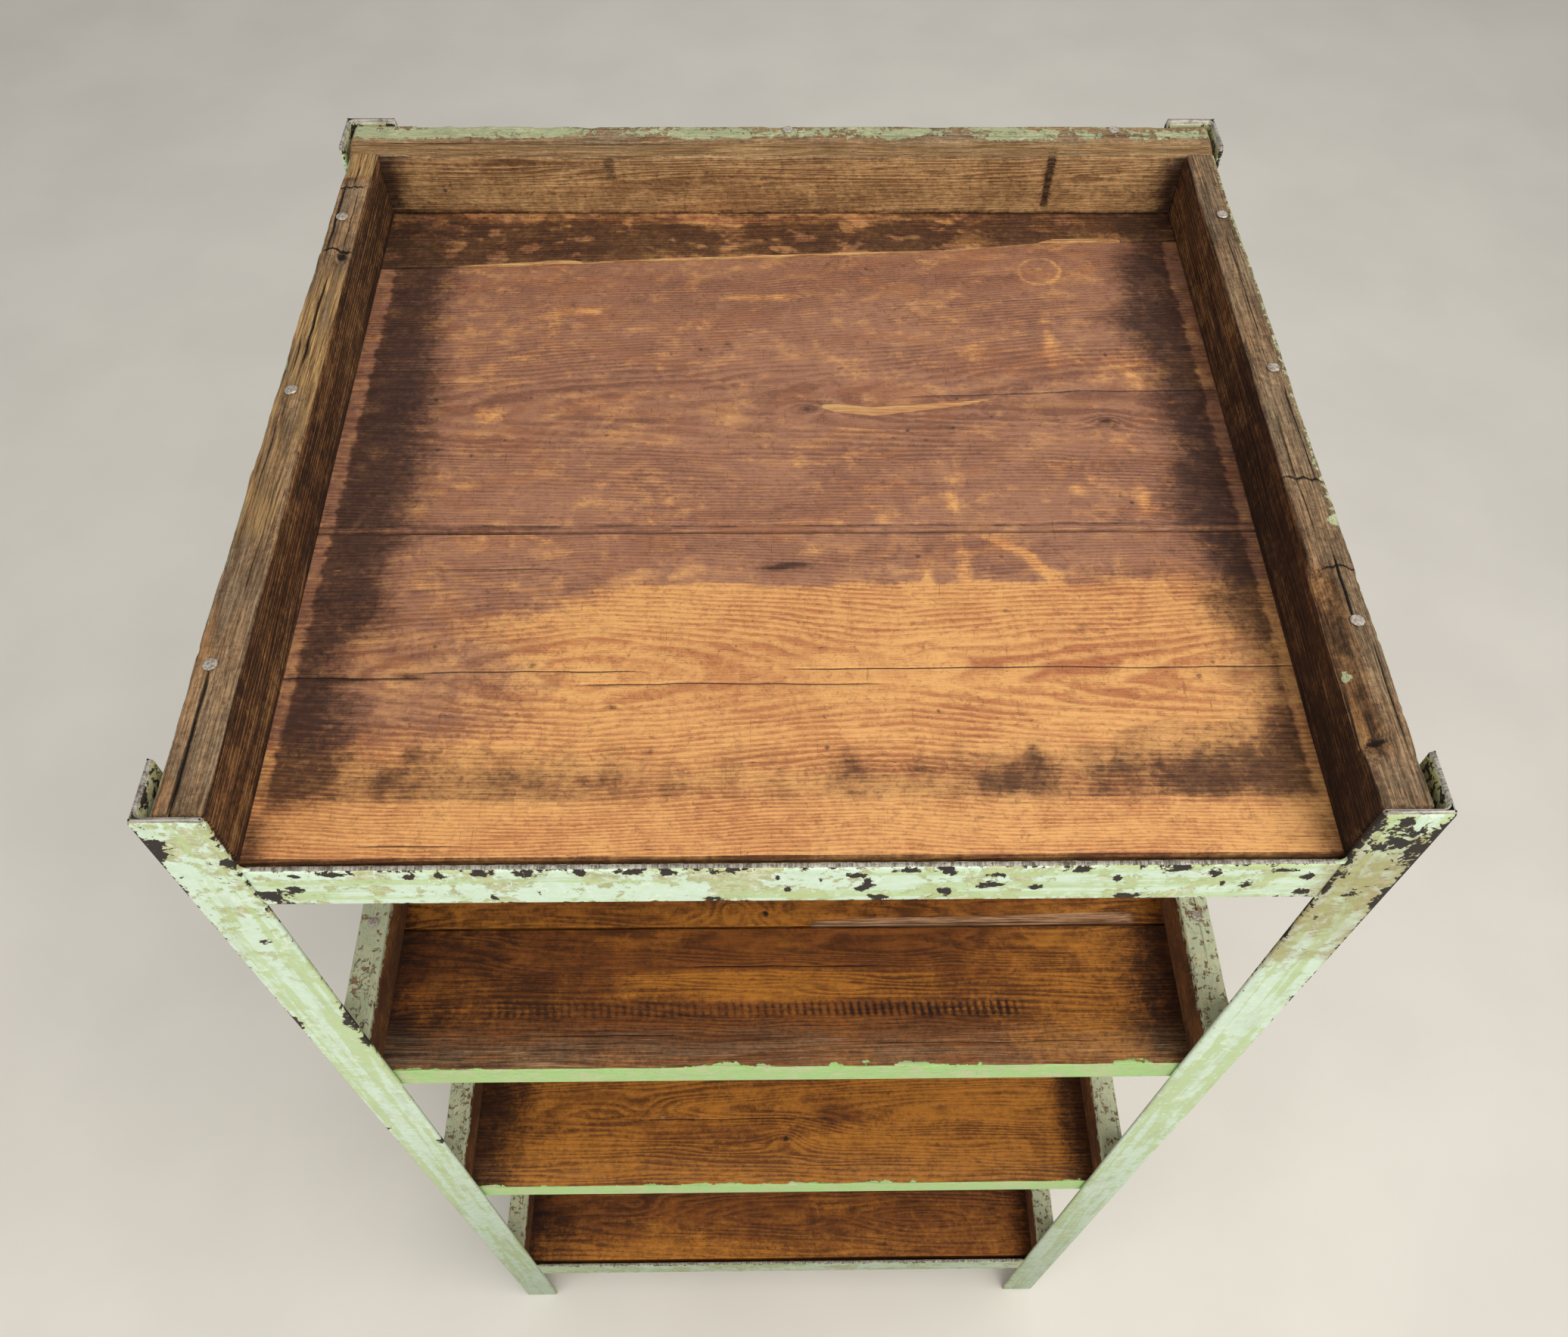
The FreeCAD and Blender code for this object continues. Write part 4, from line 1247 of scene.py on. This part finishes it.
def leg_looks(side, rear):
    """How a leg is worn: most near its top, where it is also bare."""
    left, front_right = side < 0, side > 0 and rear < 0

    def looks(u, v, base, gap, end_gap, facing):
        z = base[..., 2] / MM
        near_top = rise(z, 930, 1090)
        edge = np.exp(-gap / 2.2)
        knocked = 0.3 * (peak(z, 870, 60) + 0.7 * peak(z, 600, 60)) if left else 0.3 * rise(z, 760, 980)
        chip = 0.22 + 0.18 * near_top + edge * (0.3 + 0.25 * near_top + knocked)
        chip += (0.12 if front_right else 0.02) * rise(z, 1015, 1060)
        chip -= 0.3 * (1 - rise(z, 420, 900)) * (1 - 0.6 * edge)
        inside = (u > WALL - 0.5) & (v > WALL - 0.5) & (end_gap > 0.8)
        bare = rise(z, 1103.2, 1104.6) * 1.2 + 0.35 * edge * near_top * rise(u + v, 20, 40)
        rust = 0.2 * near_top + 0.25 * edge + 0.7 * inside + (0.1 if left else 0.3) * (1 - rise(z, 60, 560))
        rust = rust + 0.55 * (not left) * within(z, 930, 1085, 25)
        return {"chip": np.where(inside, 0.5 + 0.3 * near_top, chip), "bare": bare, "rust": rust,
                "smooth": 1 - rise(z, 880, 1010)}
    return looks


def rail_looks(u, v, base, gap, end_gap, facing):
    """How a rail is worn: chipped along both edges of its face, bare on top, rusty at the ends."""
    edge = np.exp(-gap / 2.4)
    top = np.exp(-np.abs(v - RAIL_FACE) / 1.6)
    low = np.exp(-np.abs(v) / 1.6)
    ends = np.exp(-end_gap / 9) + rise(base[..., 0] / MM, 206, 240) * (facing[..., 1] < -0.5)
    return {"chip": 0.3 + 0.5 * edge * (0.5 + top + 0.5 * low), "bare": rise(v, 33.6, 34.3) * 0.9,
            "rust": 0.35 * ends + 0.1 * edge, "smooth": np.zeros_like(u)}


# Chips are (strength, x from the middle, z from the floor, radius in x, radius in z).
FRONT_RAIL_CHIPS = tuple((0.95, *chip) for chip in (
    (-225, 1053, 4, 2.4), (-175, 1052, 4, 4), (-160, 1052, 3, 3), (-122, 1053, 5, 4), (-97, 1053, 4, 3),
    (-57, 1054, 4, 3), (-8, 1048, 2, 3), (-241, 1032, 10, 8), (-38, 1027, 5, 3), (-205, 1054, 9, 2.6),
    (-141, 1054, 7, 3), (-75, 1055, 8, 2.4), (-30, 1055, 8, 2.6), (190, 1050, 6, 4), (130, 1054, 9, 3),
    (210, 1038, 4, 5), (236, 1046, 5, 4), (-228, 1040, 4, 5), (238, 1030, 5, 4), (40, 1027, 6, 3),
    (-118, 1033, 2, 4), (28, 1050, 5, 3), (34, 1042, 4, 5), (30, 1036, 5, 3), (52, 1054, 8, 2.4),
    (70, 1053, 5, 4), (70, 1032, 5, 4), (92, 1050, 5, 3), (90, 1040, 6, 4), (112, 1037, 3, 3),
    (148, 1045, 3, 5), (175, 1054, 7, 2.4), (157, 1027, 8, 3), (-3, 1036, 2, 4), (-140, 1030, 2, 3),
    (198, 1040, 2, 4), (225, 1052, 8, 2), (12, 1046, 2, 2)))
LEG_CHIPS = {
    -1: tuple((0.75, *chip) for chip in (
        (-278, 1078, 5, 7), (-273, 1086, 4, 4), (-262, 980, 5, 4), (-252, 1066, 4, 4), (-250, 868, 5, 12),
        (-247, 835, 5, 10), (-279, 868, 4, 8), (-250, 620, 6, 8), (-277, 655, 3, 5), (-244, 1016, 4, 7))),
    1: tuple((0.5, *chip) for chip in (
        (262, 1085, 7, 8), (269, 1078, 8, 9), (274, 1064, 5, 8), (256, 1072, 4, 6), (262, 1098, 4, 4),
        (270, 1030, 9, 6), (262, 1022, 5, 7), (276, 1016, 4, 8), (255, 1000, 3, 4), (262, 960, 4, 3)))}


def front_rail_chips(x, z, facing):
    """The larger chips on the face of the tray's front rail."""
    return (facing[..., 1] < -0.3) * spots(x, z, FRONT_RAIL_CHIPS)


def leg_chips(side):
    """The larger chips on a front leg."""
    return lambda x, z, facing: spots(x, z, LEG_CHIPS[side])


SIDES = ((-1, "left"), (1, "right"))
DEPTHS = ((-1, "front"), (1, "rear"))
LEVELS = {"tray": True, "shelf_1": False, "shelf_2": False, "base": True}     # has it front and rear rails?


def bench_frame():
    """Four legs and twelve rails."""
    for rear, end_name in DEPTHS:
        front = rear < 0
        spacing, step = (2.4, 1.7) if front else (4.0, 2.6)
        for side, side_name in SIDES:
            heel = (side * SIDE, FRONT if front else BACK)
            angle_bar(f"leg_{end_name}_{side_name}", "Z", heel, (-side, -rear), FLANGE,
                      300 + side + 2 * rear, spacing, step, leg_looks(side, rear),
                      leg_chips(side) if front else None)
    for number, (level, ring) in enumerate(LEVELS.items()):
        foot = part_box(f"{level}_rail_left")[0].z
        for side, side_name in SIDES:
            angle_bar(f"{level}_rail_{side_name}", "Y", (side * SIDE, foot), (-side, 1), RAIL_FACE,
                      320 + number * 4 + side, 2.4, 2.2, rail_looks)
        for rear, end_name in DEPTHS if ring else ():
            chips = front_rail_chips if level == "tray" and rear < 0 else None
            heel = (FRONT if rear < 0 else BACK, foot)
            angle_bar(f"{level}_rail_{end_name}", "X", heel, (-rear, 1), RAIL_FACE,
                      340 + number * 4 + rear, 2.0, 1.8, rail_looks, chips)


# ---- welds and nails -------------------------------------
FILLET = 5.0
BEAD_FOOT, BEAD_HEIGHT, BEAD_RADIUS = 6.2, 18, 1.7
NAIL_HEAD = 3.6
NAIL_RISE = 1.1
NAIL_SHANK = 1.6


def lumpy(grid, seed, amount, size=3.2):
    """The grid's points moved about a little, as weld metal is."""
    shifts = [noise(grid, (size,) * 3, seed + index, 2) * amount * MM for index in range(3)]
    return grid + np.stack(shifts, -1)


def bead(foot, inward, seed):
    """Rippled run of weld metal up the corner of a rail joint. inward is a horizontal direction."""
    height = BEAD_HEIGHT * MM
    heights = np.arange(0, height, 0.5 * MM)
    turns = np.linspace(0, 4 * QUARTER, 20, endpoint=False)
    ripple = 1 + 0.16 * np.abs(np.sin(heights / MM * math.pi / 2.6 + seed))
    taper = np.sqrt(np.clip(1 - (np.abs(heights / height - 0.5) * 2) ** 8, 0.02, 1))
    radius = BEAD_RADIUS * MM * ripple * taper
    sideways = np.array([-inward[1], inward[0], 0.0])
    ring = np.cos(turns)[:, None] * np.array([*inward, 0.0]) * 0.9 + np.sin(turns)[:, None] * sideways
    grid = np.array(foot) + radius[:, None, None] * ring + heights[:, None, None] * np.array([0, 0, 1.0])
    return lumpy(grid, seed, 0.18)


def fillet(corner, way, upward, inward, seed):
    """Hollow-faced fill in the angle between a leg's edge and a rail's edge."""
    turns = np.linspace(0, QUARTER, 9)
    hollow = np.stack([1 - np.sin(turns), 1 - np.cos(turns)], 1) * FILLET * 0.9
    points = np.concatenate([[[0, 0]], hollow])
    depths = np.array([0.15, 0.3, 0.8, 1.4, 1.9, 2.0]) * MM
    swell = np.array([0.72, 0.9, 1.0, 1.0, 0.95, 0.8])
    plane = points[:, :1] * np.array(way) + points[:, 1:] * np.array([0, 0, upward])
    grid = (np.array(corner) + swell[:, None, None] * plane[None] * MM
            + depths[:, None, None] * np.array([*inward, 0.0]))
    return lumpy(grid, seed, 0.12)


def rail_ends(level, ring):
    """Outer lower corner, direction along the rail and inward direction at each welded rail end."""
    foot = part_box(f"{level}_rail_left")[0].z
    inset = FLANGE * MM
    for side, _ in SIDES:
        for rear, _ in DEPTHS:
            yield (side * SIDE, rear * (BACK - inset), foot), (0, -rear, 0), (-side, 0)
            if ring:
                yield (side * (SIDE - inset), rear * BACK, foot), (-side, 0, 0), (0, -rear)


def welds():
    """Weld metal of every level."""
    for number, (level, ring) in enumerate(LEVELS.items()):
        rail_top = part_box(f"{level}_rail_left")[1].z
        shells = []
        for count, (corner, way, inward) in enumerate(rail_ends(level, ring)):
            seed = 500 + number * 40 + count * 3
            inner = np.array(corner) + np.array([*inward, 0.0]) * WALL * MM
            shells.append(bead(inner + np.array([0, 0, BEAD_FOOT * MM]), inward, seed))
            shells.append(fillet((*corner[:2], rail_top), way, 1, inward, seed + 1))
            shells.append(fillet(corner, way, -1, inward, seed + 2))
        count = sum(shell.shape[0] * shell.shape[1] for shell in shells)
        marks = {"chip": np.full(count, 0.34), "rust": np.full(count, 0.5)}
        piece = make_object(f"worn_{level}_welds", shells, marks, steel_of("Z"))
        put(piece, "frame_paint", f"{level}_welds")


def nail(x, y, seat, seed):
    """Domed, slightly bent head of a flat-headed nail, and the start of its shank."""
    profile = ((0.3, NAIL_RISE), (1.4, NAIL_RISE), (2.6, NAIL_RISE - 0.06), (3.2, NAIL_RISE - 0.2),
               (NAIL_HEAD - 0.1, NAIL_RISE - 0.5), (NAIL_HEAD, NAIL_RISE - 0.8), (NAIL_HEAD - 0.15, 0.05),
               (NAIL_SHANK + 0.1, 0.0), (NAIL_SHANK, -3.0), (NAIL_SHANK, -12.0))
    turns = np.linspace(0, 4 * QUARTER, 28, endpoint=False)
    radius, height = (np.array(values)[:, None] * MM for values in zip(*profile))
    out = (1 - 0.05 * (0.5 + 0.5 * np.sin(turns * 2 + seed))
           - 0.03 * (0.5 + 0.5 * np.sin(turns * 5 + seed * 2)))
    across, back = radius * out * np.cos(turns), radius * out * np.sin(turns)
    lean = 0.035 * (across * math.cos(seed * 2.3) + back * math.sin(seed * 2.3)) - 0.12 * MM
    return lumpy(np.stack([x + across, y + back, seat + height + lean], -1), seed, 0.05, 1.6)


def nail_places(level, left, right, back, inset, back_inset):
    """Nail places of one level's boards, from the middle of the bench, in metres. left and right are
    distances from the front face, back is x, and the insets are from the boards' outer faces."""
    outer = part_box(f"{level}_side_right")[1].x
    back_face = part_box(f"{level}_back_board")[1].y
    rows = ((-1, left), (1, right))
    places = [(side * (outer - inset * MM), FRONT + y * MM) for side, row in rows for y in row]
    return places + [(x * MM, back_face - back_inset * MM) for x in back]


def nails(metal):
    """Nails of every level, each seated below the top of its board by the board's wear."""
    levels = [("tray", nail_places("tray", (82, 261, 410), (104, 277, 412), (3, 213), 9, 6), 0.3)]
    for level in list(LEVELS)[1:]:
        low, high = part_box(f"{level}_side_right")
        half = (high.x - low.x) / 2 / MM
        rows = (88, 250, 412)
        levels.append((level, nail_places(level, rows, rows, (-170, 0, 170), half, half), 0.7))
    for number, (level, places, wear) in enumerate(levels):
        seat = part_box(f"{level}_nails")[1].z - (NAIL_RISE + wear) * MM
        shells = [nail(x, y, seat, 600 + number * 20 + count) for count, (x, y) in enumerate(places)]
        put(make_object(f"worn_{level}_nails", shells, {}, metal), "nail_steel", f"{level}_nails")


# ---- stage -----------------------------------------------
def camera():
    """The photograph's viewpoint: at eye level close in front of the bench, looking down."""
    data = bpy.data.cameras.new("camera")
    data.lens, data.sensor_width, data.sensor_fit = 29.81, 36.0, "HORIZONTAL"
    data.clip_start, data.clip_end = 0.05, 60
    view = bpy.data.objects.new("camera", data)
    bpy.context.scene.collection.objects.link(view)
    tilt, turn, roll = math.radians(34.993), math.radians(-1.4217), math.radians(0.873)
    place = Matrix.Translation((-0.01292, -0.51553, 1.5868))
    view.matrix_world = (place @ Matrix.Rotation(turn, 4, "Z") @ Matrix.Rotation(tilt, 4, "X")
                         @ Matrix.Rotation(roll, 4, "Z"))
    bpy.context.scene.camera = view


def light(name, place, aim, size, power):
    """Large soft area light of a warm white, aimed at a point."""
    data = bpy.data.lights.new(name, "AREA")
    data.shape, data.size, data.size_y = "RECTANGLE", size[0], size[1]
    data.energy, data.color = power, (1.0, 0.95, 0.86)
    lamp = bpy.data.objects.new(name, data)
    bpy.context.scene.collection.objects.link(lamp)
    lamp.location = place
    lamp.rotation_euler = (Vector(aim) - Vector(place)).to_track_quat("-Z", "Y").to_euler()


def studio():
    """Pale floor, soft light from above and in front, and an even grey surround."""
    half = 6.0
    mesh = bpy.data.meshes.new("floor")
    corners = [(-half, -half, 0.0), (half, -half, 0.0), (half, half, 0.0), (-half, half, 0.0)]
    mesh.from_pydata(corners, [], [(0, 1, 2, 3)])
    mesh.materials.append(floor_material())
    ground = bpy.data.objects.new("floor", mesh)
    bpy.context.scene.collection.objects.link(ground)
    middle = (0.0, 0.0, 0.9)
    light("key", (0.9, -0.8, 2.9), middle, (2.0, 1.5), 42)
    light("fill", (-2.0, -1.8, 2.2), middle, (1.8, 1.8), 20)
    light("front", (0.3, -2.6, 1.6), (0.0, 0.0, 0.8), (2.4, 1.2), 21)
    light("rim", (0.6, 2.6, 2.2), middle, (2.2, 1.4), 10)
    world = bpy.data.worlds.new("surround")
    world.use_nodes = True
    background = world.node_tree.nodes["Background"]
    background.inputs["Color"].default_value = (1.0, 0.97, 0.92, 1.0)
    background.inputs["Strength"].default_value = 0.34
    bpy.context.scene.world = world
    bpy.context.scene.view_settings.view_transform = "Standard"


# ---- the bench -------------------------------------------
# The tray's soak colour is a light grey-blue, so its water stains carry a painted sheen.
tray_wood = wood("tray_wood", "X", (rgb(226, 170, 106), rgb(176, 108, 68)),
                 (rgb(166, 118, 92), rgb(124, 82, 64)),
                 soak_shade_and_sheen=rgb(136, 126, 130), contrast=0.6, streaks=0.7, relief=0.22, scuffs=0.9, specular=0.35)
for make in (tray_front, tray_middle, tray_rear):
    make(tray_wood)
walls = {"rough": (0.55, 0.75), "relief": 0.7, "scuffs": 0.9, "specular": 0.25}
wall_y = wood("wall_wood_y", "Y", (rgb(188, 142, 92), rgb(92, 62, 38)),
              (rgb(156, 104, 58), rgb(74, 46, 26)),
              contrast=0.9, shift=30, **walls)
wall_x = wood("wall_wood_x", "X", (rgb(204, 162, 112), rgb(124, 88, 54)),
              (rgb(180, 134, 88), rgb(108, 74, 48)),
              contrast=0.75, shift=34, **walls)
tray_left(wall_y)
tray_right(wall_y)
tray_back(wall_x)
shelf_wood = wood("shelf_wood", "X", (rgb(190, 124, 46), rgb(98, 52, 16)),
                  (rgb(144, 84, 32), rgb(78, 42, 16)),
                  rgb(222, 180, 142), rgb(172, 212, 138), contrast=0.5, specular=0.26, shift=20)
for make in (shelf_one, shelf_two, base_shelf):
    make(shelf_wood)
lip_boards(wood("lip_wood", "Y", (rgb(150, 102, 54), rgb(88, 54, 28)), (rgb(116, 72, 38), rgb(70, 42, 24)),
                paint=rgb(186, 196, 166), rough=(0.55, 0.75), shift=40))
bench_frame()
welds()
nails(nail_metal())

camera()
studio()
